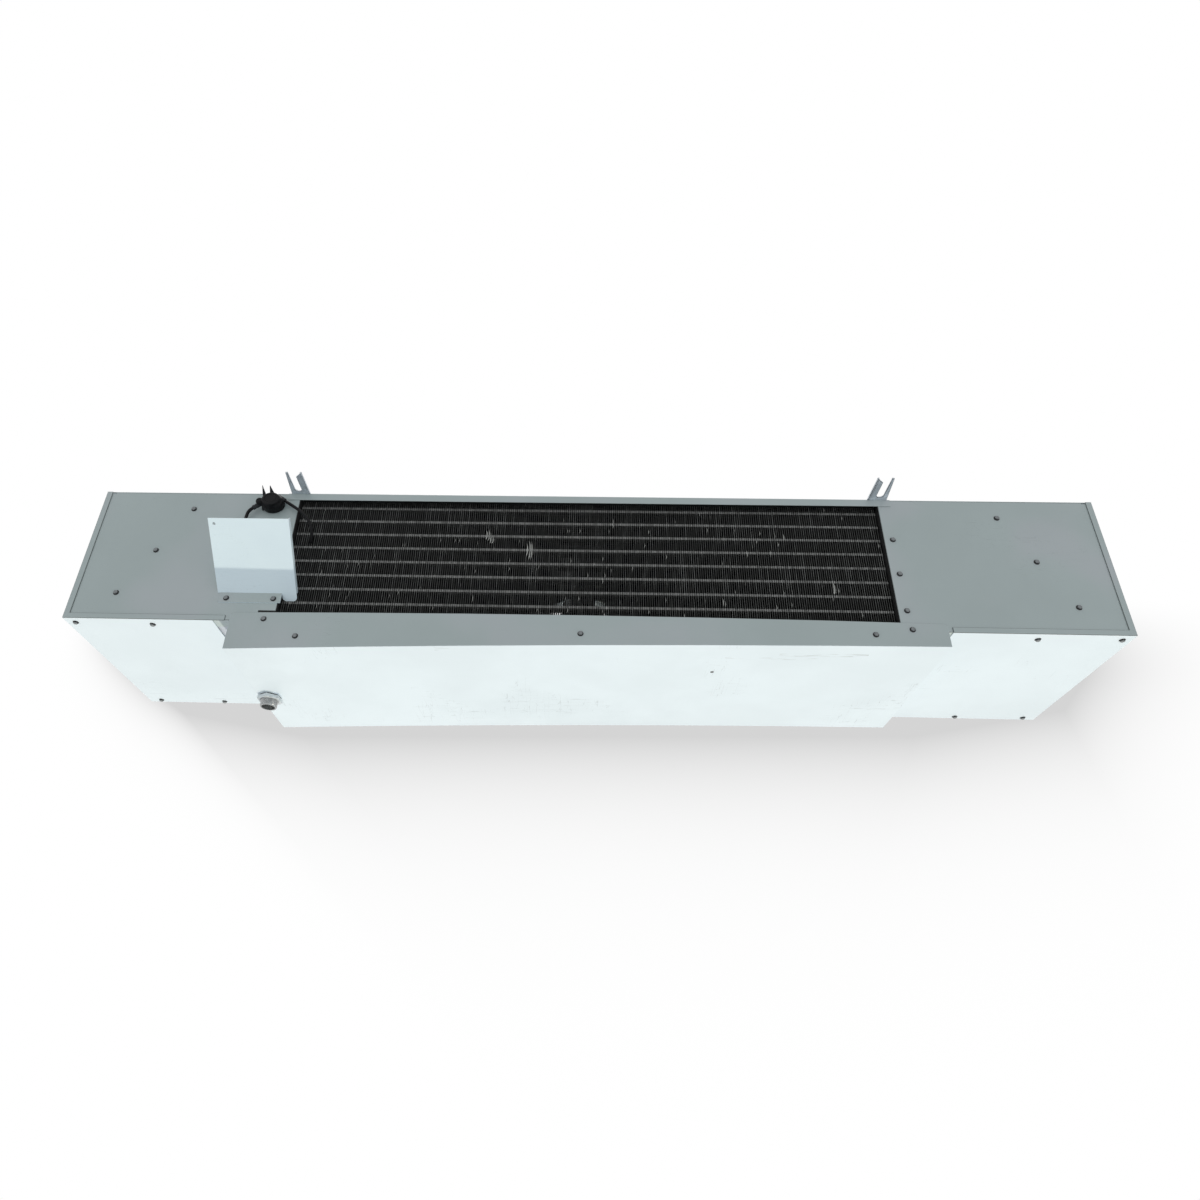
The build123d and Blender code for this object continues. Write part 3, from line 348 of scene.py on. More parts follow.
def noise(tree, scale, detail=3.0, roughness=0.5, place=None):
    feeds = {"Vector": place or object_place(tree), "Scale": scale}
    feeds |= {"Detail": detail, "Roughness": roughness}
    return put(tree, "ShaderNodeTexNoise", "Fac", feeds)


def attribute(tree, name):
    return put(tree, "ShaderNodeAttribute", "Fac", attribute_name=name)


# Kinds of socket by the type of their value; "" stands for a material and [] for geometry
SOCKETS = {int: "Int", float: "Float", tuple: "Vector", str: "Material", list: "Geometry"}


def node_group(name, kind, inputs, outputs):
    """A tree with named inputs and outputs, and the values that its inputs give."""
    tree = bpy.data.node_groups.new(name, kind)
    for way, sockets in (("INPUT", inputs), ("OUTPUT", outputs)):
        for label, value in sockets.items():
            socket_type = f"NodeSocket{SOCKETS[type(value)]}"
            socket = tree.interface.new_socket(label, in_out=way, socket_type=socket_type)
            if value and way == "INPUT":
                socket.default_value = value
    start = tree.nodes.new("NodeGroupInput")
    return tree, {socket.name: Value(tree, socket) for socket in start.outputs if socket.name}


def end_group(tree, **results):
    end = tree.nodes.new("NodeGroupOutput")
    for label, value in results.items():
        tree.links.new(value.socket, end.inputs[label])
    return tree


def geometry_tree(name, **inputs):
    inputs = {"Geometry": [], **inputs, "Material": ""}
    return node_group(name, "GeometryNodeTree", inputs, {"Geometry": []})


def end_tree(tree, given, geometry):
    """Realize Instances and Set Material close every tree."""
    real = grow(tree, "RealizeInstances", Geometry=geometry)
    dressed = grow(tree, "SetMaterial", Geometry=real, Material=given["Material"])
    return end_group(tree, Geometry=dressed)


def joined(tree, *parts):
    join = tree.nodes.new("GeometryNodeJoinGeometry")
    for part in parts:
        tree.links.new(part.socket, join.inputs[0])
    return Value(tree, join.outputs[0])


def grown(name, tree, finish, points=(), **values):
    """The plain mesh that a tree grows from some points, with its inputs set."""
    mesh = bpy.data.meshes.new(name)
    mesh.from_pydata([tuple(point) for point in points], [], [])
    thing = new_object(name, mesh)
    modifier = thing.modifiers.new("Pattern", "NODES")
    modifier.node_group = tree
    values["Material"] = finishes[finish].material
    for item in tree.interface.items_tree:
        if item.in_out == "INPUT" and item.name in values:
            modifier[item.identifier] = values[item.name]
    return baked(thing)


# Shader groups for effects that several finishes share
def shader_group(name, outputs, **inputs):
    return node_group(name, "ShaderNodeTree", inputs, dict.fromkeys(outputs, 0.0))


def handling_marks():
    """Broad uneven smudges left by hands."""
    tree, given = shader_group("Handling Marks", ("Mask",), Scale=5.0, Amount=0.5)
    cloud = noise(tree, given["Scale"], 6.0, 0.62).ramp(0.48, 0.72)
    return end_group(tree, Mask=cloud * given["Amount"])


def fine_scratches():
    """Short thin scratches in two directions."""
    tree, given = shader_group("Fine Scratches", ("Mask",), Density=9.0, Width=0.006, Amount=0.5)
    total = 0.0
    for turn, stretch in ((0.35, (1.0, 16.0, 16.0)), (1.15, (14.0, 1.0, 14.0))):
        line = noise(tree, given["Density"], 2.0, 0.5, stretched(tree, stretch, (0.0, turn, turn)))
        thin = (line - 0.5).math("ABSOLUTE").math("LESS_THAN", given["Width"])
        total = (thin * noise(tree, 7.0, 2.0).ramp(0.56, 0.64)).most(total)
    return end_group(tree, Mask=total * given["Amount"])


def surface_grain():
    """Fine relief of enamel, castings and moulded skins."""
    tree, given = shader_group("Surface Grain", ("Height", "Tone"), Scale=900.0)
    tone = noise(tree, given["Scale"] / 40.0, 4.0)
    return end_group(tree, Height=noise(tree, given["Scale"], 2.0), Tone=tone)


def settled_dust():
    """Dust that lies on what faces up."""
    tree, given = shader_group("Settled Dust", ("Mask",), Amount=0.5)
    upward = axes(tree, put(tree, "ShaderNodeNewGeometry", "Normal"))[2]
    patch = noise(tree, 18.0, 5.0, 0.6).ramp(0.3, 0.75, 0.35, 1.0)
    return end_group(tree, Mask=upward.ramp(0.2, 0.95) * patch * given["Amount"])


def zinc_spangle():
    """The crystal pattern of hot dipped zinc."""
    tree, given = shader_group("Zinc Spangle", ("Tone", "Edge"), Scale=160.0)
    feeds = {"Vector": object_place(tree), "Scale": given["Scale"]}
    crystals = place_node(tree, "ShaderNodeTexVoronoi", feeds)
    shade, edge = (Value(tree, crystals.outputs[name]) for name in ("Color", "Distance"))
    return end_group(tree, Tone=put(tree, "ShaderNodeSeparateColor", 0, {0: shade}), Edge=edge)


GROUP_MAKERS = {
    "marks": handling_marks,
    "scratches": fine_scratches,
    "grain": surface_grain,
    "dust": settled_dust,
    "spangle": zinc_spangle,
}
groups = {}
finishes = {}


class Finish:
    """A material under way: its tree, its shader and the colours laid so far."""

    def __init__(self, name, ground, metallic=0.0, specular=0.5):
        self.material = bpy.data.materials.new(name)
        self.material.use_nodes = True
        self.tree = self.material.node_tree
        self.shader = self.tree.nodes["Principled BSDF"]
        self.shader.inputs["Metallic"].default_value = metallic
        self.shader.inputs["Specular IOR Level"].default_value = specular
        self.colour = (*ground, 1.0)

    def effect(self, name, output="Mask", **values):
        """A shared shader group with this finish's own values."""
        if name not in groups:
            groups[name] = GROUP_MAKERS[name]()
        return put(self.tree, "ShaderNodeGroup", output, values, node_tree=groups[name])

    def lay(self, mask, over):
        """Another colour over those below it, as far as a mask says."""
        feeds = {0: mask, 6: self.colour, 7: (*over, 1.0)}
        self.colour = put(self.tree, "ShaderNodeMix", 2, feeds, data_type="RGBA")
        self.tree.links.new(self.colour.socket, self.shader.inputs["Base Color"])

    def surface(self, rough, height, depth, strength=1.0):
        feeds = {"Height": height, "Strength": strength, "Distance": depth}
        bump = put(self.tree, "ShaderNodeBump", 0, feeds)
        self.tree.links.new(rough.socket, self.shader.inputs["Roughness"])
        self.tree.links.new(bump.socket, self.shader.inputs["Normal"])
        return self


def tint(base, share):
    return tuple(min(1.0, channel * share) for channel in base)


def painted(name, base, wear=0.5, cast=None):
    """Baked enamel with smudges, scratches and dust, and a second cast in broad patches."""
    enamel = Finish(name, tint(base, 0.965))
    enamel.lay(enamel.effect("grain", "Tone", Scale=260.0).ramp(0.3, 0.7), tint(base, 1.02))
    if cast:
        enamel.lay(noise(enamel.tree, 6.0, 2.0).ramp(0.46, 0.68), cast)
    smudge = enamel.effect("marks", Scale=4.0, Amount=0.30 * wear)
    dust = enamel.effect("dust", Amount=0.2)
    scratch = enamel.effect("scratches", Density=7.0, Width=0.0035, Amount=0.55 * wear)
    enamel.lay(smudge, tint(base, 0.78))
    enamel.lay(dust, (0.36, 0.335, 0.30))
    enamel.lay(scratch, tint(base, 0.52))
    peel = enamel.effect("grain", "Height", Scale=620.0) - scratch * 0.8
    return enamel.surface(smudge * 0.5 + 0.36 + dust * 0.4, peel, 0.06 * MM)


def bare_sheet(name, base, spangle_scale, roughness, metallic=0.45):
    """Galvanised or bare aluminium sheet."""
    sheet = Finish(name, tint(base, 0.86), metallic)
    crystal = sheet.effect("spangle", "Tone", Scale=spangle_scale)
    stain = sheet.effect("marks", Scale=22.0, Amount=0.5)
    sheet.lay(crystal, tint(base, 1.12))
    sheet.lay(stain, tint(base, 0.6))
    sheet.lay(sheet.effect("dust", Amount=0.5), (0.34, 0.32, 0.29))
    edges = sheet.effect("spangle", "Edge", Scale=spangle_scale)
    return sheet.surface(crystal * 0.14 + roughness + stain * 0.25, edges, 0.04 * MM, 0.6)


# Places on the coil face where fins are crushed: centre X and Z, reach along X and Z
DENTS = (
    (-0.1522, -0.0703, 0.0050, 0.0100),
    (-0.1460, -0.0790, 0.0045, 0.0070),
    (-0.0872, -0.0975, 0.0060, 0.0170),
    (0.3601, -0.1576, 0.0035, 0.0110),
)
# Where, along Y, a fin's rubbed edge and its nicks begin and are full
FIN_EDGE = (-0.1325, -0.1332)
FIN_NICKS = (-0.1300, -0.1334)


def dent_depth(x, z, rim, core):
    """Depth in the nearest dent: 0 from its rim outwards and 1 in its core."""
    deepest = 0.0
    for middle_x, middle_z, wide, tall in DENTS:
        across = ((x - middle_x) / wide).math("POWER", 2.0)
        upward = ((z - middle_z) / tall).math("POWER", 2.0)
        deepest = (across + upward).ramp(rim, core).most(deepest)
    return deepest


def fin_stock():
    """Dark fins whose rubbed edges and crushed places show bare metal."""
    base = tuple(colours().fin)
    stock = Finish("coated_fin_stock", tint(base, 0.6), specular=0.2)
    tree = stock.tree
    x, y, z = axes(tree, object_place(tree))
    fine = noise(tree, 420.0, 4.0, 0.7)
    stock.lay(fine.ramp(0.35, 0.65), tint(base, 1.5))
    rubbed = noise(tree, 1.0, 3.0, 0.6, stretched(tree, (315.0, 30.0, 11.0))).ramp(0.48, 0.66)
    stock.lay((rubbed * 0.60 + 0.30) * y.ramp(*FIN_EDGE), (0.40, 0.40, 0.385))
    front = y.ramp(*FIN_NICKS)
    stock.lay(attribute(tree, "bent") * front, (0.66, 0.65, 0.61))
    crushed = dent_depth(x, z, 1.2, 0.5) * front * fine.ramp(0.3, 0.5, 0.45, 1.0)
    stock.lay(crushed, (0.86, 0.85, 0.80))
    return stock.surface(fine * 0.2 + 0.42, fine, 0.05 * MM)


def fin_tab_stock():
    """Spacer tabs, each a little lighter or darker than the next."""
    stock = Finish("fin_tab_stock", (0.15, 0.15, 0.145), 0.2)
    steps = stretched(stock.tree, (290.0, 1.0, 12.0))
    share = noise(stock.tree, 1.0, 3.0, 0.7, steps).ramp(0.36, 0.62)
    stock.lay(share, (0.32, 0.32, 0.31))
    return stock.surface(share * -0.15 + 0.6, share, 0.05 * MM)


def collar_rows():
    """Fin collars stacked along each tube: rings at the fins' pitch."""
    base = tuple(colours().tube)
    rows = Finish("fin_collars", tint(base, 0.55), 0.55)
    x = axes(rows.tree, object_place(rows.tree))[0]
    wave = (x * (2 * math.pi / sizes().fin_pitch)).math("SINE") * 0.5 + 0.5
    grime = rows.effect("marks", Scale=60.0, Amount=0.7)
    rows.lay(wave, tint(base, 1.25))
    rows.lay(grime, tint(base, 0.35))
    return rows.surface(grime * 0.3 + 0.4, wave, 0.2 * MM)


def drawn_metal(name, base, roughness, stain=0.4, scale=34.0, metallic=1.0):
    """Copper, brass and ground steel: fine drawing lines and darker tarnish."""
    metal = Finish(name, tint(base, 0.86), metallic)
    tarnish = metal.effect("marks", Scale=scale, Amount=stain)
    metal.lay(metal.effect("grain", "Tone", Scale=1500.0), tint(base, 1.1))
    metal.lay(tarnish, tint(base, 0.45))
    lines = metal.effect("grain", "Height", Scale=2200.0)
    return metal.surface(tarnish * 0.35 + roughness, lines, 0.03 * MM)


def screw_metal():
    """Plated screws, with painted shade darkening the washer and the hex sides more than the crown."""
    metal = drawn_metal("zinc_plated_screw", (0.30, 0.32, 0.33), 0.42, 0.6, 260.0, 0.4)
    metal.lay(attribute(metal.tree, "rim"), (0.035, 0.035, 0.037))
    return metal


def moulded(name, base, roughness, grain=1400.0):
    """Moulded plastic, rubber and stoved paint on castings."""
    skin = Finish(name, base, specular=0.12)
    scuff = skin.effect("marks", Scale=40.0, Amount=0.4)
    skin.lay(scuff, [channel * 1.2 + 0.008 for channel in base])
    skin.lay(skin.effect("dust", Amount=0.35), (0.25, 0.24, 0.22))
    height = skin.effect("grain", "Height", Scale=grain)
    return skin.surface(scuff * 0.2 + roughness, height, 0.08 * MM)


# On the pan's floor: a painted dark dot for the shade in a pin hole, and scuffs by low and high X, middle Y and
# reach
PIN_HOLE_SHADE_PLACE = (0.1881, -0.0623, -0.2625)
PIN_HOLE_SHADE_RADIUS = 2.7 * MM
SCUFFS = (
    (0.275, 0.40, -0.116, 0.006),
    (0.20, 0.345, -0.105, 0.004),
    (-0.215, -0.18, -0.135, 0.006),
)


def pan_enamel():
    """The pan's enamel, with the scuffs that its floor carries and a painted dark dot for the shade in a pin
    hole.
    """
    enamel = painted("pan_white_enamel", tuple(colours().white_paint), 0.8)
    tree = enamel.tree
    place = object_place(tree)
    x, y = axes(tree, place)[:2]
    feeds = {0: place, 1: PIN_HOLE_SHADE_PLACE}
    painted_hole_shade = put(tree, "ShaderNodeVectorMath", "Value", feeds, operation="DISTANCE")
    # A painted dark dot stands in for the shade in a pin hole
    enamel.lay(painted_hole_shade.math("LESS_THAN", PIN_HOLE_SHADE_RADIUS), (0.02, 0.02, 0.02))
    line = noise(tree, 1.0, 4.0, 0.65, stretched(tree, (22.0, 420.0, 60.0))).ramp(0.55, 0.62)
    for low_x, high_x, middle_y, reach in SCUFFS:
        along = x.math("GREATER_THAN", low_x) * x.math("LESS_THAN", high_x)
        band = along * (y - middle_y).math("ABSOLUTE").ramp(reach, reach * 0.3)
        enamel.lay(band * line * 0.6, (0.36, 0.37, 0.37))
    return enamel


def make_finishes():
    given = colours()
    white, grey, zinc = tuple(given.white_paint), tuple(given.grey_paint), tuple(given.zinc)
    copper, rubber = tuple(given.copper), tuple(given.rubber)
    dark_zinc, black = (0.12, 0.125, 0.13), tint(rubber, 1.1)
    finishes.update({
        "white": painted("white_enamel", white),
        # grey: the panels' enamel, and the painted shade on faces of the white pieces that look along Y
        "grey": painted("grey_enamel", grey, 0.4, (0.522, 0.56, 0.573)),
        # seam: a dark grey that paints the shade lines in the seams along the front edges
        "seam": painted("grime_in_seams", tint(grey, 0.30), 0.4),
        # inside: near black, a painted shade for the top panel's underside behind the coil
        "inside": painted("unlit_inside_sheet", tint(grey, 0.08), 0.4),
        # plate: a paler, bluer copy of the white enamel, which paints the plate's bright light and blue shade
        "plate": painted("plate_enamel", (0.80, 0.92, 1.0), 0.2),
        "primer": painted("lavender_primer", (0.54, 0.57, 0.63), 0.3),
        "white_edge": painted("white_enamel_rubbed_edge", tint(white, 0.93), 1.5),
        "grey_edge": painted("grey_enamel_rubbed_edge", tint(grey, 1.12), 1.5),
        "pan": pan_enamel(),
        "galvanised": bare_sheet("galvanised_sheet", zinc, 170.0, 0.34),
        "hanger": bare_sheet("pale_zinc_sheet", (0.70, 0.76, 0.82), 170.0, 0.40, 0.25),
        "hanger_edge": bare_sheet("dark_sheared_edge", dark_zinc, 170.0, 0.5, 0.25),
        # aluminium: near black, a painted shade for the tube sheets in the coil's end recesses
        "aluminium": bare_sheet("coated_aluminium_sheet", (0.035, 0.035, 0.036), 900.0, 0.5),
        "fins": fin_stock(),
        "tabs": fin_tab_stock(),
        "collars": collar_rows(),
        "screw": screw_metal(),
        "copper": drawn_metal("dull_copper", copper, 0.32, 0.7),
        "brass": drawn_metal("machined_brass", (0.70, 0.50, 0.22), 0.3),
        "steel": drawn_metal("ground_steel", (0.55, 0.55, 0.55), 0.28, 0.3),
        "stub": drawn_metal("zinc_plated_stub", (0.66, 0.70, 0.72), 0.40, 0.5, 120.0, 0.35),
        "thread": drawn_metal("dark_threads", (0.42, 0.43, 0.43), 0.26, 0.6, 140.0, 0.75),
        "wire": drawn_metal("plated_wire", (0.62, 0.63, 0.64), 0.25, 0.4),
        "blade": drawn_metal("stamped_aluminium", (0.62, 0.63, 0.65), 0.38, 0.5, 18.0),
        "rubber": moulded("moulded_rubber", rubber, 0.62),
        "plastic": moulded("black_moulding", black, 0.36),
        "clip": moulded("oxidised_clip", (0.045, 0.046, 0.05), 0.48),
        "jacket": moulded("lead_jacket", black, 0.42),
        "motor": moulded("stoved_motor_black", (0.03, 0.031, 0.034), 0.4, 700.0),
    })


# Operators: one for the finishes, one for the stage and one for each group of like pieces
class EVAPORATOR_OT_finishes(Operator):
    """Make every finish"""

    bl_idname = "evaporator.finishes"
    bl_label = "Make Finishes"

    def execute(self, context):
        make_finishes()
        return {"FINISHED"}


# The photograph's camera, in metres and degrees in the part's frame
CAMERA_PLACE = (-0.01099, -1.13942, -0.81889)
CAMERA_TURN = (117.845, -1.978, 1.456)
CAMERA_LENS = 24.35
CAMERA_SENSOR = 36.0
CAMERA_SHIFT = (0.0446, 0.0511)
FLOOR_DROP = 2.4
FLOOR_HALF = 4.0
FLOOR_GLOW = 0.32

# Lamps: name, way of the light, strength, width in degrees and colour
LAMPS = (
    ("low_lamp", (-0.33, -0.228, 0.97), 1.44, 1.2, (1.0, 0.95, 0.80)),
    ("high_lamp", (0.15, -0.30, -0.94), 0.6, 14.0, (1.0, 0.99, 0.97)),
)
WORLD_LIGHT = 0.57

# Painted soft shade on the backdrop: lines by their normal along X and Z, offset and reach
SHADE_LINES = (
    (-0.5266, -0.8501, 0.5756, 0.030),
    (-0.1681, -0.9858, 0.3335, 0.085),
    (0.0237, -0.9997, 0.2382, 0.105),
    (0.2026, -0.9793, 0.3398, 0.095),
    (0.7635, -0.6459, 0.7663, 0.075),
)
SHADE_PLACE = 0.215
SHADE_ENDS = (-1.3, 1.7)
SHADE_HEIGHTS = (-0.9, 0.1)
SHADE_DEPTH = 0.34
SHADE_CORE = 0.16
SHADE_TOP = (0.06, -0.13)
SHADE_LEFT = (-1.03, -0.80)


def seen_by(tree, *rays):
    """1 for the named kinds of ray and 0 for the rest."""
    path = tree.nodes.new("ShaderNodeLightPath")
    seen, *others = [Value(tree, path.outputs[f"Is {ray} Ray"]) for ray in rays]
    for other in others:
        seen = seen.most(other)
    return seen


def pale_world():
    """White to the eye and in reflections, a calmer cool light on the object."""
    world = bpy.data.worlds.new("studio")
    bpy.context.scene.world = world
    world.use_nodes = True
    tree = world.node_tree
    tree.nodes.clear()
    seen = seen_by(tree, "Camera", "Glossy", "Transmission")
    cool, white = (0.92, 0.975, 1.0, 1.0), (1.0, 1.0, 1.0, 1.0)
    light = put(tree, "ShaderNodeBackground", 0, {"Color": cool, "Strength": WORLD_LIGHT})
    view = put(tree, "ShaderNodeBackground", 0, {"Color": white, "Strength": 1.0})
    mix = put(tree, "ShaderNodeMixShader", 0, {0: seen, 1: light, 2: view})
    place_node(tree, "ShaderNodeOutputWorld", {"Surface": mix})


def sun(name, toward, strength, width, tone):
    lamp = bpy.data.lights.new(name, "SUN")
    lamp.energy = strength
    lamp.angle = math.radians(width)
    lamp.color = tone
    thing = new_object(name, lamp)
    thing.rotation_euler = Vector(toward).to_track_quat("-Z", "Y").to_euler()


def stage_sheet(name, corners, material):
    mesh = bpy.data.meshes.new(name)
    mesh.from_pydata(corners, [], [(0, 1, 2, 3)])
    mesh.materials.append(material)
    sheet = new_object(name, mesh)
    return sheet


def pale_floor():
    pale = Finish("pale_floor", (0.86, 0.86, 0.86))
    for name, value in (
        ("Base Color", pale.colour), ("Roughness", 0.9), ("Emission Color", (1.0, 1.0, 1.0, 1.0))
    ):
        pale.shader.inputs[name].default_value = value
    glow = seen_by(pale.tree, "Camera", "Glossy") * FLOOR_GLOW
    pale.tree.links.new(glow.socket, pale.shader.inputs["Emission Strength"])
    half = FLOOR_HALF
    corners = [(x, y, -FLOOR_DROP) for x, y in ((-half, -half), (half, -half), (half, half), (-half, half))]
    stage_sheet("floor", corners, pale.material).visible_shadow = False


def shaded_backdrop():
    """A clear sheet behind the unit that carries a painted soft shade below it."""
    material = bpy.data.materials.new("backdrop_shade")
    material.use_nodes = True
    tree = material.node_tree
    tree.nodes.clear()
    x, z = axes(tree, object_place(tree))[::2]
    away = 0.0
    for normal_x, normal_z, offset, reach in SHADE_LINES:
        away = ((x * normal_x + z * normal_z - offset) / reach).most(away)
    shade = ((away - SHADE_CORE).most(0.0) * -1.0).math("EXPONENT")
    shade = shade * z.ramp(*SHADE_TOP) * x.ramp(*SHADE_LEFT)
    front = 1.0 - put(tree, "ShaderNodeNewGeometry", "Backfacing")
    clear = 1.0 - shade * seen_by(tree, "Camera") * front * SHADE_DEPTH
    sheet = put(tree, "ShaderNodeBsdfTransparent", 0, {"Color": clear})
    place_node(tree, "ShaderNodeOutputMaterial", {"Surface": sheet})
    (left, right), (low, high) = SHADE_ENDS, SHADE_HEIGHTS
    corners = [(x, SHADE_PLACE, z) for x, z in ((left, low), (right, low), (right, high), (left, high))]
    backdrop = stage_sheet("backdrop", corners, material)
    for ray in ("diffuse", "glossy", "transmission", "shadow"):
        setattr(backdrop, f"visible_{ray}", False)


class EVAPORATOR_OT_stage(Operator):
    """Set up the camera, the pale floor and the soft light"""

    bl_idname = "evaporator.stage"
    bl_label = "Set Stage"

    def execute(self, context):
        lens = bpy.data.cameras.new("camera")
        lens.lens = CAMERA_LENS
        lens.sensor_width = CAMERA_SENSOR
        lens.shift_x, lens.shift_y = CAMERA_SHIFT
        lens.clip_start = 0.01
        camera = new_object("camera", lens)
        camera.location = CAMERA_PLACE
        camera.rotation_euler = Euler([math.radians(angle) for angle in CAMERA_TURN])
        context.scene.camera = camera
        context.scene.view_settings.view_transform = "Standard"
        pale_world()
        for lamp in LAMPS:
            sun(*lamp)
        pale_floor()
        shaded_backdrop()
        return {"FINISHED"}


# Folds of sheet metal: slight ones, if long, stay crisp, and sharp ones are rounded
SLIGHT_FOLD = 0.02
SHARP_FOLD = 0.7
LONG_FOLD = 0.06
FACING = 0.9
PLAIN, EDGE, SHADED_FACE_SLOT, SEAM, UNDER = range(5)

# Limits within which a fold takes the seam finish, a painted shade line
FACE_PLANE = -0.1418
LIP_TOP = -0.2255
FLANGE_HEIGHT = 0.014


def sheet_piece(
    node, slot, plain, edge, shaded_faces=None, rounding=1.0, seam=None, seamed=None, under=None
):
    """A sheet metal node with whole faces, rounded folds and a rubbed edge finish.

    Folds for which seamed is true take the seam finish, and faces that look down the under one; these finishes,
    and the one for faces that look along Y, paint shade.
    """
    shape = merged(node)
    bmesh.ops.dissolve_limit(
        shape, angle_limit=math.radians(0.08), verts=shape.verts[:], edges=shape.edges[:]
    )
    for face in shape.faces:
        face.normal_update()
        # Faces that look down take the under finish, a painted dark shade where it is given
        down = UNDER if face.normal.z < -FACING else PLAIN
        # Faces that look along Y take a painted shade, when a finish for them is given
        face.material_index = SHADED_FACE_SLOT if shaded_faces and abs(face.normal.y) > FACING else down
    for fold in shape.edges:
        slight = SLIGHT_FOLD < fold.calc_face_angle(0.0) < SHARP_FOLD
        fold.smooth = not (slight and fold.calc_length() > LONG_FOLD)
    thing = new_object(f"{node}_sheet", to_mesh(shape, f"{node}_sheet"))
    finish_of(thing, plain, edge, shaded_faces or plain, seam or edge, under or plain)
    thing.data.shade_smooth()
    bevel = thing.modifiers.new("Folds", "BEVEL")
    bevel.harden_normals = True
    bevel.width = sizes().sheet_edge * rounding
    bevel.segments = 2
    bevel.limit_method = "ANGLE"
    bevel.angle_limit = SHARP_FOLD
    bevel.material = EDGE
    thing.modifiers.new("Flats", "WEIGHTED_NORMAL").keep_sharp = True
    baked(thing)
    # Folds that seamed picks out take the seam finish, a painted shade line
    for face in thing.data.polygons:
        if seamed and face.material_index == EDGE and seamed(face.center):
            face.material_index = SEAM
    settle(thing, NODES[node]["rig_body"], slot, node)


def at_front(spot):
    return spot.y < FACE_PLANE


def at_flange(spot):
    return spot.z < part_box("cover_plate")[0].z + FLANGE_HEIGHT


def at_lip_top(spot):
    return at_front(spot) and spot.z > LIP_TOP


class EVAPORATOR_OT_cabinet(Operator):
    """Dress the cabinet's sheets, the pan and the cover plate"""

    bl_idname = "evaporator.cabinet"
    bl_label = "Dress Cabinet"

    def execute(self, context):
        # On the white pieces, the pan and the plate, faces that look along Y take grey as a painted shade
        white = ("white_paint", "white", "white_edge", "grey")
        grey = ("grey_paint", "grey", "grey_edge")
        pan = ("white_paint", "pan", "white_edge", "grey")
        plate = ("white_paint", "plate", "white_edge", "grey")
        for side in SIDES:
            sheet_piece(f"{side}_end_cover", *white, 1.6, "seam", at_front)
            sheet_piece(f"{side}_front_panel", *grey, None, 1.5, "seam", at_front)
            sheet_piece(f"{side}_rear_panel", *grey)
            sheet_piece(f"{side}_hanger", "galvanised_steel", "hanger", "hanger_edge", None, 1.4)
            finish_of(NODES[f"{side}_base_plate"], "primer")
            finish_of(NODES[f"{side}_brace"], "galvanised")
            # The tube sheets take a near-black painted shade
            finish_of(NODES[f"{side}_tube_sheet"], "aluminium")
        # The top panel's faces that look along Y take grey as a painted shade
        sheet_piece("top_panel", "grey_paint", "white", "grey_edge", "grey", under="inside")
        sheet_piece("fan_panel", *grey)
        sheet_piece("drain_pan", *pan, 2.0, "seam", at_lip_top)
        sheet_piece("cover_plate", *plate, 1.8, "seam", at_flange)
        sheet_piece("lip_stiffener", "galvanised_steel", "galvanised", "galvanised")
        return {"FINISHED"}


# The front of each fin that bends by itself, and the spacer tabs on the fin edges
FIN_FLAP = 0.003
FIN_ROWS = 41
CREASE_REACH = 1 * MM
NICK_PUSH = 1.4 * MM
DENT_PUSH = 2.2 * MM
# Noise over the fins: steps from fin to fin and up a fin, for its stray and for its nicks
STRAY_STEPS = (7.31, 38.0)
NICK_STEPS = (3.77, 70.0)
NICK_LIMITS = (0.70, 0.76)
DENT_SPREAD = 0.75
TAB_SIZE = (0.0020, 0.0004, 0.0040)
TAB_ROWS = 8
TAB_TOP = -0.0226
TAB_STEP = 0.02499


def fin_tree():
    """A row of thin upright plates whose edges stray, crushed in a few places."""
    tree, given = geometry_tree(
        "Fin Row", Count=280, Pitch=0.003175, Thickness=0.0003, Depth=0.066, Height=0.2,
        First=(0.0, 0.0, 0.0), Lean=0.001,
    )
    row = grow(
        tree, "MeshLine", Count=given["Count"], Start_Location=given["First"],
        Offset=vector(tree, given["Pitch"]),
    )
    size = vector(tree, given["Thickness"], given["Depth"], given["Height"])
    fin = grow(tree, "MeshCube", Size=size, Vertices_X=2, Vertices_Y=3, Vertices_Z=FIN_ROWS)
    real = grow(tree, "RealizeInstances", Geometry=spread(tree, row, fin))
    x, y, z = axes(tree, grow(tree, "InputPosition"))
    first_x, first_y = axes(tree, given["First"])[:2]
    face = y.math("LESS_THAN", first_y - CREASE_REACH)
    crease = (y - first_y).math("ABSOLUTE").math("LESS_THAN", CREASE_REACH)
    index = ((x - first_x) / given["Pitch"]).math("ROUND")
    wave = noise(tree, 1.0, 2.0, 0.6, vector(tree, index * STRAY_STEPS[0], z=z * STRAY_STEPS[1]))
    spots = vector(tree, index * NICK_STEPS[0], 0.5, z * NICK_STEPS[1])
    nick = noise(tree, 1.0, 1.0, 0.5, spots).ramp(*NICK_LIMITS)
    push = dent_depth(x, z, 1.3, 0.2)
    sideways = push * (sizes().fin_pitch * DENT_SPREAD) + (wave - 0.5) * given["Lean"] * 2.0
    sideways = sideways + nick * NICK_PUSH
    depth = crease * (FIN_FLAP - given["Depth"] * 0.5) + push * DENT_PUSH * wave * face
    marked = grow(tree, "StoreNamedAttribute", Geometry=real, Name="bent", Value=nick * face)
    offset = vector(tree, sideways * face, depth)
    return end_tree(tree, given, grow(tree, "SetPosition", Geometry=marked, Offset=offset))


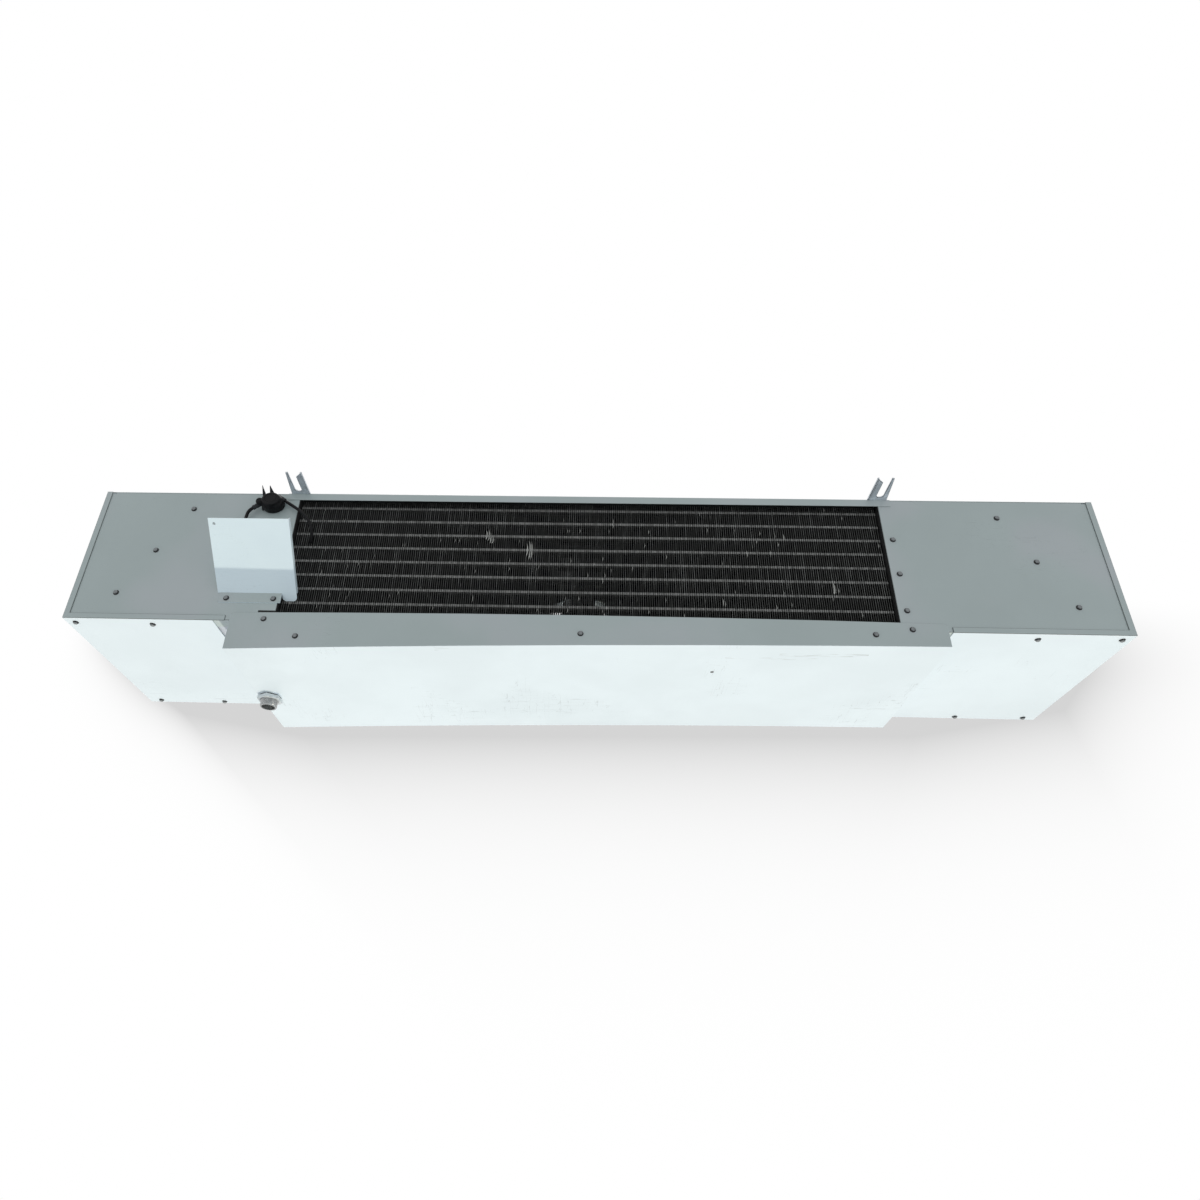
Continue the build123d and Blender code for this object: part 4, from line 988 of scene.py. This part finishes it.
def tab_tree():
    """Rows of small spacer tabs on the fin edges, one row at each given point."""
    tree, given = geometry_tree("Spacer Tabs", Count=280, Pitch=0.003175, Size=(0.002, 0.0004, 0.0026))
    row = grow(tree, "MeshLine", Count=given["Count"], Offset=vector(tree, given["Pitch"]))
    tab = grow(tree, "MeshCube", Size=given["Size"])
    return end_tree(tree, given, spread(tree, given["Geometry"], spread(tree, row, tab)))


def rod_tree():
    """Round bars along X on the given points."""
    tree, given = geometry_tree("Tube Runs", Radius=0.005, Length=0.9)
    bar = grow(tree, "MeshCylinder", Vertices=18, Radius=given["Radius"], Depth=given["Length"])
    bars = spread(tree, given["Geometry"], bar, Rotation=(0.0, math.pi / 2, 0.0))
    return end_tree(tree, given, bars)


class EVAPORATOR_OT_coil(Operator):
    """Make the fins at their real pitch and the tubes behind their edges"""

    bl_idname = "evaporator.coil"
    bl_label = "Make Coil"

    def execute(self, context):
        low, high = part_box("coil_fins")
        size = high - low
        pitch = sizes().fin_pitch
        thickness = sizes().fin_thickness
        count = int((high.x - low.x - thickness) / pitch) + 1
        middle = (low + high) / 2
        first = Vector((middle.x - pitch * (count - 1) / 2, middle.y, middle.z))
        fins = grown(
            "fin_pack", fin_tree(), "fins", Count=count, Pitch=pitch, Thickness=thickness,
            Depth=size.y, Height=size.z, First=first, Lean=sizes().fin_lean,
        )
        settle(fins, "cabinet", "fin_stock", "coil_fins")
        rows = [(first.x, low.y + TAB_SIZE[1] / 2, TAB_TOP - TAB_STEP * row) for row in range(TAB_ROWS)]
        tabs = grown("fin_tabs", tab_tree(), "tabs", rows, Count=count, Pitch=pitch, Size=Vector(TAB_SIZE))
        settle(tabs, "cabinet", "fin_stock")
        tubes = solids_of("coil_tubes")
        size = tubes[0][1] - tubes[0][0]
        centres = [(low + high) / 2 for low, high in tubes]
        runs = grown("tube_runs", rod_tree(), "collars", centres, Radius=size.y / 2, Length=size.x)
        soften(runs.data)
        settle(runs, "cabinet", "copper", "coil_tubes")
        return {"FINISHED"}


# The head of a screw: its parts' heights as shares of its height, and the painted shade that darkens their rims
WASHER_SHARE, BODY_SHARE, CROWN_SHARE = 0.26, 0.84, 0.16


def screw_tree():
    """Hex washer heads on the given points, each with its own turn."""
    tree, given = geometry_tree(
        "Screw Heads", Washer=0.0047, Flats=0.00635, Height=0.0036, Facing=(0.0, 0.0, 0.0), Seed=1
    )
    washer, corner, height = given["Washer"], given["Flats"] / math.sqrt(3), given["Height"]
    lift = vector(tree, z=height * BODY_SHARE)
    parts = []
    # Each part: sides, top and bottom radius, height share, and rim, its share of painted shade
    for sides, top, bottom, share, rim in (
        (24, washer * 0.86, washer, WASHER_SHARE, 1.0),
        (6, corner, corner, BODY_SHARE, 0.8),
        (6, corner * 0.80, corner, CROWN_SHARE, 0.3),
    ):
        part = grow(
            tree, "MeshCone", Vertices=sides, Radius_Top=top, Radius_Bottom=bottom, Depth=height * share
        )
        if share == CROWN_SHARE:
            part = grow(tree, "Transform", Geometry=part, Translation=lift)
        parts.append(grow(tree, "StoreNamedAttribute", Geometry=part, Name="rim", Value=rim))
    head = joined(tree, *parts)
    turn = put(tree, "FunctionNodeRandomValue", 1, {2: 0.0, 3: math.pi / 3, "Seed": given["Seed"]})
    heads = spread(tree, given["Geometry"], head, Rotation=given["Facing"])
    turned = grow(
        tree, "RotateInstances", Instances=heads, Rotation=vector(tree, z=turn), Local_Space=True
    )
    return end_tree(tree, given, turned)


SCREW_ROWS = (
    ("panel_screws", FRONT, 3),
    ("plate_screws", FRONT, 5),
    ("lip_screws", FRONT, 7),
    ("floor_screws", DOWN, 11),
    ("rear_screws", REAR, 13),
)
HEAD_HEIGHT = 3.6 * MM


class EVAPORATOR_OT_screws(Operator):
    """Make the hex washer heads of all the sheet metal screws"""

    bl_idname = "evaporator.screws"
    bl_label = "Make Screws"

    def execute(self, context):
        tree = screw_tree()
        for node, facing, seed in SCREW_ROWS:
            way = Vector(facing)
            axis = max(range(3), key=lambda index: abs(way[index]))
            seats = []
            for low, high in solids_of(node):
                seat = (low + high) / 2
                outer = high[axis] if way[axis] > 0 else low[axis]
                seat[axis] = outer - way[axis] * HEAD_HEIGHT
                seats.append(seat)
            heads = grown(
                node.replace("screws", "screw_heads"), tree, "screw", seats, Seed=seed,
                Washer=sizes().screw_washer, Flats=sizes().screw_flats, Height=sizes().screw_height,
                Facing=Vector(way.to_track_quat("Z", "Y").to_euler()),
            )
            settle(heads, "cabinet", "zinc", node)
        return {"FINISHED"}


GUARD_SPOKES = 4
GUARD_HUB = 12 * MM
GUARD_SHOULDER = 16 * MM
SPOKE_POINTS = 16
RING_CORNERS, SEAT_CORNERS, WIRE_CORNERS = 64, 72, 8


def guard_tree():
    """Rings of round wire on bent spokes, facing +Y, round the origin."""
    tree, given = geometry_tree(
        "Wire Guard", Rings=9, Wire=0.0026, Inner=0.012, Shoulder=0.09, Outer=0.108, Dome=0.015,
        Spokes=4, Centre=(0.0, 0.0, 0.0),
    )
    inner, shoulder, outer = given["Inner"], given["Shoulder"], given["Outer"]
    index = grow(tree, "InputIndex")
    half_wire = given["Wire"] * 0.5

    def points(count):
        return grow(tree, "MeshLine", Count=count, Offset=(0.0, 0.0, 0.0))

    def circle(corners, radius):
        return grow(tree, "CurvePrimitiveCircle", Resolution=corners, Radius=radius)

    reach = index / (given["Rings"] - 1.0) * (shoulder - inner) + inner
    lift = vector(tree, z=given["Dome"] - given["Wire"])
    raised = grow(tree, "SetPosition", Geometry=points(given["Rings"]), Position=lift)
    rings = spread(tree, raised, circle(RING_CORNERS, 1.0), Scale=vector(tree, reach, reach, 1.0))
    rest = vector(tree, z=half_wire)
    seat = grow(tree, "Transform", Geometry=circle(SEAT_CORNERS, outer), Translation=rest)
    run = index / (SPOKE_POINTS - 1.0) * (outer - inner) + inner
    fall = given["Dome"] - half_wire
    drop = run.ramp(shoulder, outer) * (fall - half_wire)
    route = vector(tree, run, 0.0, fall - drop)
    bent = grow(tree, "SetPosition", Geometry=points(SPOKE_POINTS), Position=route)
    spoke = grow(tree, "MeshToCurve", Mesh=bent)
    turn = (index + 0.5) * (2 * math.pi) / given["Spokes"]
    spokes = spread(tree, points(given["Spokes"]), spoke, Rotation=vector(tree, z=turn))
    real = grow(tree, "RealizeInstances", Geometry=joined(tree, rings, seat, spokes))
    solid = grow(tree, "CurveToMesh", Curve=real, Profile_Curve=circle(WIRE_CORNERS, half_wire), Fill_Caps=True)
    upright = (-math.pi / 2, 0.0, 0.0)
    stood = grow(tree, "Transform", Geometry=solid, Translation=given["Centre"], Rotation=upright)
    return end_tree(tree, given, stood)


class EVAPORATOR_OT_guards(Operator):
    """Make the wire guards over the fan orifices"""

    bl_idname = "evaporator.guards"
    bl_label = "Make Guards"

    def execute(self, context):
        tree = guard_tree()
        wire = sizes().guard_wire
        for fan in FANS:
            low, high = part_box(f"fan_guard_{fan}")
            outer = (high.z - low.z) / 2 - wire / 2
            guard = grown(
                f"wire_guard_{fan}", tree, "wire", Rings=sizes().guard_rings, Wire=wire,
                Inner=GUARD_HUB, Shoulder=outer - GUARD_SHOULDER, Outer=outer, Dome=high.y - low.y,
                Spokes=GUARD_SPOKES, Centre=Vector(((low.x + high.x) / 2, low.y, (low.z + high.z) / 2)),
            )
            soften(guard.data, 60.0)
            settle(guard, "cabinet", "guard_wire", f"fan_guard_{fan}")
        return {"FINISHED"}


# Fan wheel: the blades' reach, widths and bend, and the hub's profile in millimetres
FAN_BLADES = 5
BLADE_ROOT = 0.019
BLADE_TIP = 0.0968
BLADE_HALF_ROOT = 0.017
BLADE_SPREAD = 0.0185
BLADE_PITCH = math.radians(23.0)
BLADE_CAMBER = 0.009
BLADE_HALF_DEPTH = 0.0165
BLADE_SHEET = 1.4 * MM
BLADE_ROUNDING = 0.10
BLADE_NECK = 0.25
BLADE_WIDENING = 1.35
BLADE_STEPS = (14, 12)
CORNER_POWER = 5
TWIST_POWER = 1.4
HUB_BEHIND = 0.012
HUB = (
    (4.1, -12.0), (20.0, -12.0), (21.8, -10.5), (22.0, -9.0), (22.0, 9.0), (21.2, 11.2), (19.5, 12.0),
    (13.0, 12.0), (12.0, 10.8), (7.5, 10.4), (6.8, 11.9), (4.1, 11.9),
)
SHAFT_RADIUS = 4.0 * MM
SHAFT_CHAMFER = 0.6 * MM


def blade_shape(shape, centre, turn):
    """One twisted, cambered blade of pressed sheet."""
    across, along = BLADE_STEPS
    spin = Matrix.Rotation(turn, 3, "Y")
    grid = []
    for row in range(along + 1):
        share = row / along
        half = BLADE_HALF_ROOT + BLADE_SPREAD * math.sin(min(1.0, share * BLADE_WIDENING) * math.pi / 2)
        pitch = BLADE_PITCH + sizes().blade_twist * (1 - share) ** TWIST_POWER
        line = []
        for column in range(across + 1):
            spot = column / across * 2 - 1
            rounded = 1 - BLADE_ROUNDING * share * abs(spot) ** CORNER_POWER
            radius = (BLADE_ROOT + (BLADE_TIP - BLADE_ROOT) * share) * rounded
            x = spot * half / math.cos(BLADE_PITCH)
            camber = BLADE_CAMBER * ((1 - spot * spot) * (0.6 + 0.4 * share) - 0.5)
            flat = x * math.cos(pitch) - camber * math.sin(pitch)
            depth = x * math.sin(pitch) + camber * math.cos(pitch)
            depth = max(-BLADE_HALF_DEPTH, min(BLADE_HALF_DEPTH, depth))
            if share > BLADE_NECK:
                radius = math.sqrt(max(1e-9, radius**2 - flat**2))
            line.append(shape.verts.new(centre + spin @ Vector((flat, depth, radius))))
        grid.append(line)
    for lower, upper in zip(grid, grid[1:]):
        for column in range(across):
            shape.faces.new((lower[column], lower[column + 1], upper[column + 1], upper[column]))


def wheel_piece(fan):
    node, body = f"fan_blade_{fan}", f"fan_{fan}"
    low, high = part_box(f"fan_shaft_{fan}")
    axis = Vector(((low.x + high.x) / 2, 0.0, (low.z + high.z) / 2))
    centre = Vector((axis.x, high.y - HUB_BEHIND, axis.z))
    shape = bmesh.new()
    for index in range(FAN_BLADES):
        blade_shape(shape, centre, 2 * math.pi / FAN_BLADES * index)
    blades = new_object(f"fan_wheel_{fan}", to_mesh(shape, f"fan_wheel_{fan}"))
    finish_of(blades, "blade")
    thick = blades.modifiers.new("Sheet", "SOLIDIFY")
    thick.thickness = BLADE_SHEET
    thick.offset = 0.0
    baked(blades)
    soften(blades.data, 40.0)
    settle(blades, body, "fan_aluminium", node)
    hub = lathe(in_metres(HUB), 40, centre, REAR)
    made(f"fan_hub_{fan}", hub, "blade", 35.0, body, "fan_aluminium", node)
    tip = SHAFT_RADIUS - SHAFT_CHAMFER
    profile = [(0.0, low.y), (SHAFT_RADIUS, low.y), (SHAFT_RADIUS, high.y - SHAFT_CHAMFER)]
    shaft = lathe(profile + [(tip, high.y), (0.0, high.y)], 28, axis, REAR)
    made(f"fan_spindle_{fan}", shaft, "steel", 30.0, body, "shaft_steel", f"fan_shaft_{fan}")


# Motor shell in millimetres: its bore from the low end, its boss from the high end by radius,
# then its bell from its face and its tail from the low end by the inset from its radius
MOTOR_BORE = ((0.0, 26.8), (4.1, 27.0))
MOTOR_BOSS = ((4.1, 0.0), (11.8, 0.0), (13.0, -1.5), (13.0, -8.2), (14.5, -9.0))
MOTOR_FACE = 9.0 * MM
MOTOR_BELL = ((6.0, 0.0), (1.5, -2.5), (0.0, -6.0), (0.0, -20.0), (1.2, -20.5), (1.2, -22.5), (0.0, -23.0))
MOTOR_TAIL = ((0.0, 22.0), (1.2, 21.5), (1.2, 19.5), (0.0, 19.0), (0.0, 8.0), (3.0, 3.0), (9.0, 0.5))
MOTOR_END = ((12.0, 0.0), (0.0, 0.0))


def motor_piece(fan):
    low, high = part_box(f"fan_motor_{fan}")
    radius = (high.x - low.x) / 2
    profile = []
    for points, rim, start in (
        (MOTOR_BORE, None, low.y),
        (MOTOR_BOSS, None, high.y),
        (MOTOR_BELL, radius, high.y - MOTOR_FACE),
        (MOTOR_TAIL, radius, low.y),
        (MOTOR_END, None, low.y),
    ):
        for out, height in in_metres(points):
            profile.append((rim - out if rim else out, start + height))
    place = ((low.x + high.x) / 2, 0.0, (low.z + high.z) / 2)
    shell = lathe(profile, 48, place, REAR)
    made(f"motor_shell_{fan}", shell, "motor", 35.0, "cabinet", "motor_paint", f"fan_motor_{fan}")


class EVAPORATOR_OT_fans(Operator):
    """Make the fan wheels, their motors and the straps"""

    bl_idname = "evaporator.fans"
    bl_label = "Make Fans"

    def execute(self, context):
        for fan in FANS:
            wheel_piece(fan)
            motor_piece(fan)
            sheet_piece(f"motor_bracket_{fan}", "galvanised_steel", "galvanised", "galvanised")
        return {"FINISHED"}


# Drain stub: radii of the thread's crests, its roots and the bore, and the flange's profile
THREAD_CREST = 13.33 * MM
THREAD_ROOT = 12.35 * MM
STUB_BORE = 10.44 * MM
THREAD_BELOW = 1.8 * MM
THREAD_STEPS = 36
STUB_FLANGE = ((10.44, -1.9), (16.0, -1.6), (16.2, -0.9), (15.8, 0.0), (11.2, 0.0), (10.44, -0.4))


def threaded_shell(place, top, low, pitch):
    """A short pipe with an outside screw thread, standing on its place along Z."""
    shape = bmesh.new()
    axis = Vector((place.x, place.y, 0.0))
    steps = THREAD_STEPS
    rows = int((top - low) / pitch) * 4
    rings = []
    for row in range(rows + 1):
        height = low + (top - low) * row / rows
        ease = min(1.0, (height - low) / pitch + 0.25)
        ring = []
        for step in range(steps):
            phase = (height / pitch + step / steps) % 1.0
            ridge = 1 - abs(phase * 2 - 1)
            radius = THREAD_ROOT + (THREAD_CREST - THREAD_ROOT) * ridge * ease
            ring.append(shape.verts.new(axis + on_circle(radius, step, steps, height)))
        rings.append(ring)
    for height in (top, low):
        spots = [on_circle(STUB_BORE, step, steps, height) for step in range(steps)]
        rings.append([shape.verts.new(axis + spot) for spot in spots])
    bridge(shape, rings + [rings[0]], steps)
    bmesh.ops.recalc_face_normals(shape, faces=shape.faces[:])
    return shape


class EVAPORATOR_OT_drain(Operator):
    """Make the threaded drain stub with its locknut and gasket"""

    bl_idname = "evaporator.drain"
    bl_label = "Make Drain"

    def execute(self, context):
        low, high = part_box("drain_stub")
        place = (low + high) / 2
        thread = threaded_shell(place, high.z - THREAD_BELOW, low.z, sizes().thread_pitch)
        made("drain_stub_thread", thread, "thread", 25.0, "cabinet", "zinc")
        flange = lathe(in_metres(STUB_FLANGE), 40, (place.x, place.y, high.z), UP)
        made("drain_stub_flange", flange, "stub", 30.0, "cabinet", "zinc", "drain_stub")
        sheet_piece("drain_locknut", "zinc", "stub", "stub", None, 1.6)
        sheet_piece("drain_gasket", "rubber", "rubber", "rubber", None, 0.7)
        return {"FINISHED"}


# Thermostat: profiles in millimetres, places from the middle of the body's back
STAT_BODY = (
    (0.0, 0.0), (1.0, 0.0), (1.0, 9.6), (0.985, 11.0), (0.95, 12.2), (0.89, 13.6), (0.85, 15.4), (0.82, 17.0),
    (0.78, 17.7), (0.72, 17.95), (0.60, 17.95), (0.57, 17.3), (0.50, 17.3), (0.47, 17.7), (0.0, 17.7),
)
STAT_HALF = (17.35, 14.8)
STAT_BACK = (-13.2, -1.6, 8.6)
KNOB = (
    (0.0, 8.0), (5.4, 8.0), (6.0, 8.6), (6.0, 12.2), (5.5, 12.8), (5.5, 13.3), (4.9, 14.0), (4.1, 14.1),
    (3.9, 14.9), (2.9, 14.95), (2.6, 14.2), (0.0, 14.2),
)
KNOB_PLACE = (-18.7, 0.0, -0.7)
SLEEVE = (
    (0.0, 0.0), (3.65, 0.0), (3.65, 8.4), (3.1, 9.0), (3.1, 9.7), (3.65, 10.3), (3.65, 13.3), (3.2, 14.0),
    (0.0, 14.0),
)
SLEEVE_LENGTH = 14 * MM
LEAD_RADIUS = 2.5 * MM
# Leads: the sleeve's end, the way it points in degrees, and the route on from its end
LEADS = {
    "coil_lead": ((18.7, -6.0, 4.7), -35.0, (
        (0.0, 0.0, 0.0), (16.4, 0.0, -11.5), (34.0, -1.5, -24.8), (46.0, 0.4, -40.8), (50.0, 3.9, -53.3),
        (49.0, 10.9, -62.3), (47.0, 15.9, -65.8), (47.0, 21.0, -66.8),
    )),
    "panel_lead": ((-29.4, -6.0, -9.7), 220.0, (
        (0.0, 0.0, 0.0), (-6.1, 0.0, -5.1), (-6.6, -1.0, -19.7), (-4.9, -4.4, -43.7), (-1.9, -8.4, -65.7),
        (-0.4, -2.4, -79.7), (-0.4, 16.6, -79.7),
    )),
}


def smooth_line(name, points, radius):
    """A round lead on one smooth curve through a given route."""
    line = bpy.data.curves.new(name, "CURVE")
    line.dimensions = "3D"
    line.bevel_depth = radius
    line.bevel_resolution = 4
    line.use_fill_caps = True
    spline = line.splines.new("NURBS")
    spline.points.add(len(points) - 1)
    for spot, point in zip(spline.points, points):
        spot.co = (*point, 1.0)
    spline.order_u = 3
    spline.use_endpoint_u = True
    spline.resolution_u = 10
    thing = new_object(name, line)
    mesh = evaluated(thing)
    bpy.data.objects.remove(thing)
    mesh.shade_smooth()
    return new_object(name, mesh)


def stat_body(back):
    """The oval body with its raised front ring, and the ringed knob at its left."""
    body = lathe([(radius, height * MM) for radius, height in STAT_BODY], 56, (0.0, 0.0, 0.0), FRONT)
    for vert in body.verts:
        x, y, z = vert.co
        vert.co = Vector((x * STAT_HALF[0] * MM, y, z * STAT_HALF[1] * MM)) + back
    made("thermostat_body", body, "plastic", 25.0, "cabinet", "black_moulding", "thermostat")
    knob = lathe(in_metres(KNOB), 40, back + Vector(KNOB_PLACE) * MM, FRONT)
    made("thermostat_knob", knob, "plastic", 35.0, "cabinet", "black_moulding")


class EVAPORATOR_OT_thermostat(Operator):
    """Make the thermostat, its forked plate and its two leads"""

    bl_idname = "evaporator.thermostat"
    bl_label = "Make Thermostat"

    def execute(self, context):
        low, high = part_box("thermostat_bracket")
        back = Vector((high.x, high.y, low.z)) + Vector(STAT_BACK) * MM
        sheet_piece("thermostat_bracket", "stat_bracket_metal", "clip", "clip", None, 0.9)
        stat_body(back)
        for name, (end, degrees, route) in LEADS.items():
            end = back + Vector(end) * MM
            turn = math.radians(degrees)
            way = Vector((math.cos(turn), 0.0, math.sin(turn)))
            sleeve = lathe(in_metres(SLEEVE), 28, end - way * SLEEVE_LENGTH, way)
            made(f"{name}_sleeve", sleeve, "clip", 35.0, "cabinet", "black_moulding")
            points = [end + Vector(step) * MM for step in route]
            lead = smooth_line(f"thermostat_{name}", points, LEAD_RADIUS)
            finish_of(lead, "jacket")
            settle(lead, "cabinet", "lead_jacket", name)
        finish_of(NODES["lead_grommet"], "rubber")
        return {"FINISHED"}


KEPT_FINISHES = {
    "copper": (
        "hairpin_bends", "return_bends", "suction_header", "suction_line", "liquid_line",
        "distributor_leads",
    ),
    "brass": ("distributor", "expansion_valve"),
    "rubber": ("line_grommets",),
    "plastic": ("terminal_block",),
    "screw": ("hanger_bolts",),
}


class EVAPORATOR_OT_lines(Operator):
    """Finish the copper lines, the header, the valve and the inner fittings"""

    bl_idname = "evaporator.lines"
    bl_label = "Finish Lines"

    def execute(self, context):
        for name, nodes in KEPT_FINISHES.items():
            for node in nodes:
                finish_of(NODES[node], name)
        return {"FINISHED"}


class EVAPORATOR_PT_sidebar(Panel):
    """The evaporator's operators, sizes and colours"""

    bl_idname = "EVAPORATOR_PT_sidebar"
    bl_label = "Evaporator"
    bl_space_type = "VIEW_3D"
    bl_region_type = "UI"
    bl_category = "Evaporator"

    def draw(self, context):
        layout = self.layout
        for operator in OPERATORS:
            layout.operator(operator.bl_idname)
        for group in (context.scene.evaporator_sizes, context.scene.evaporator_colours):
            box = layout.box()
            for name in group.__annotations__:
                box.prop(group, name)


OPERATORS = (
    EVAPORATOR_OT_finishes,
    EVAPORATOR_OT_stage,
    EVAPORATOR_OT_cabinet,
    EVAPORATOR_OT_coil,
    EVAPORATOR_OT_screws,
    EVAPORATOR_OT_guards,
    EVAPORATOR_OT_fans,
    EVAPORATOR_OT_drain,
    EVAPORATOR_OT_thermostat,
    EVAPORATOR_OT_lines,
)
CLASSES = (EvaporatorSizes, EvaporatorColours, *OPERATORS, EVAPORATOR_PT_sidebar)


def register():
    for item in CLASSES:
        bpy.utils.register_class(item)
    bpy.types.Scene.evaporator_sizes = PointerProperty(type=EvaporatorSizes)
    bpy.types.Scene.evaporator_colours = PointerProperty(type=EvaporatorColours)


def unregister():
    del bpy.types.Scene.evaporator_colours
    del bpy.types.Scene.evaporator_sizes
    for item in reversed(CLASSES):
        bpy.utils.unregister_class(item)


def main():
    register()
    for operator in OPERATORS:
        area, name = operator.bl_idname.split(".")
        getattr(getattr(bpy.ops, area), name)()


if __name__ == "__main__":
    main()
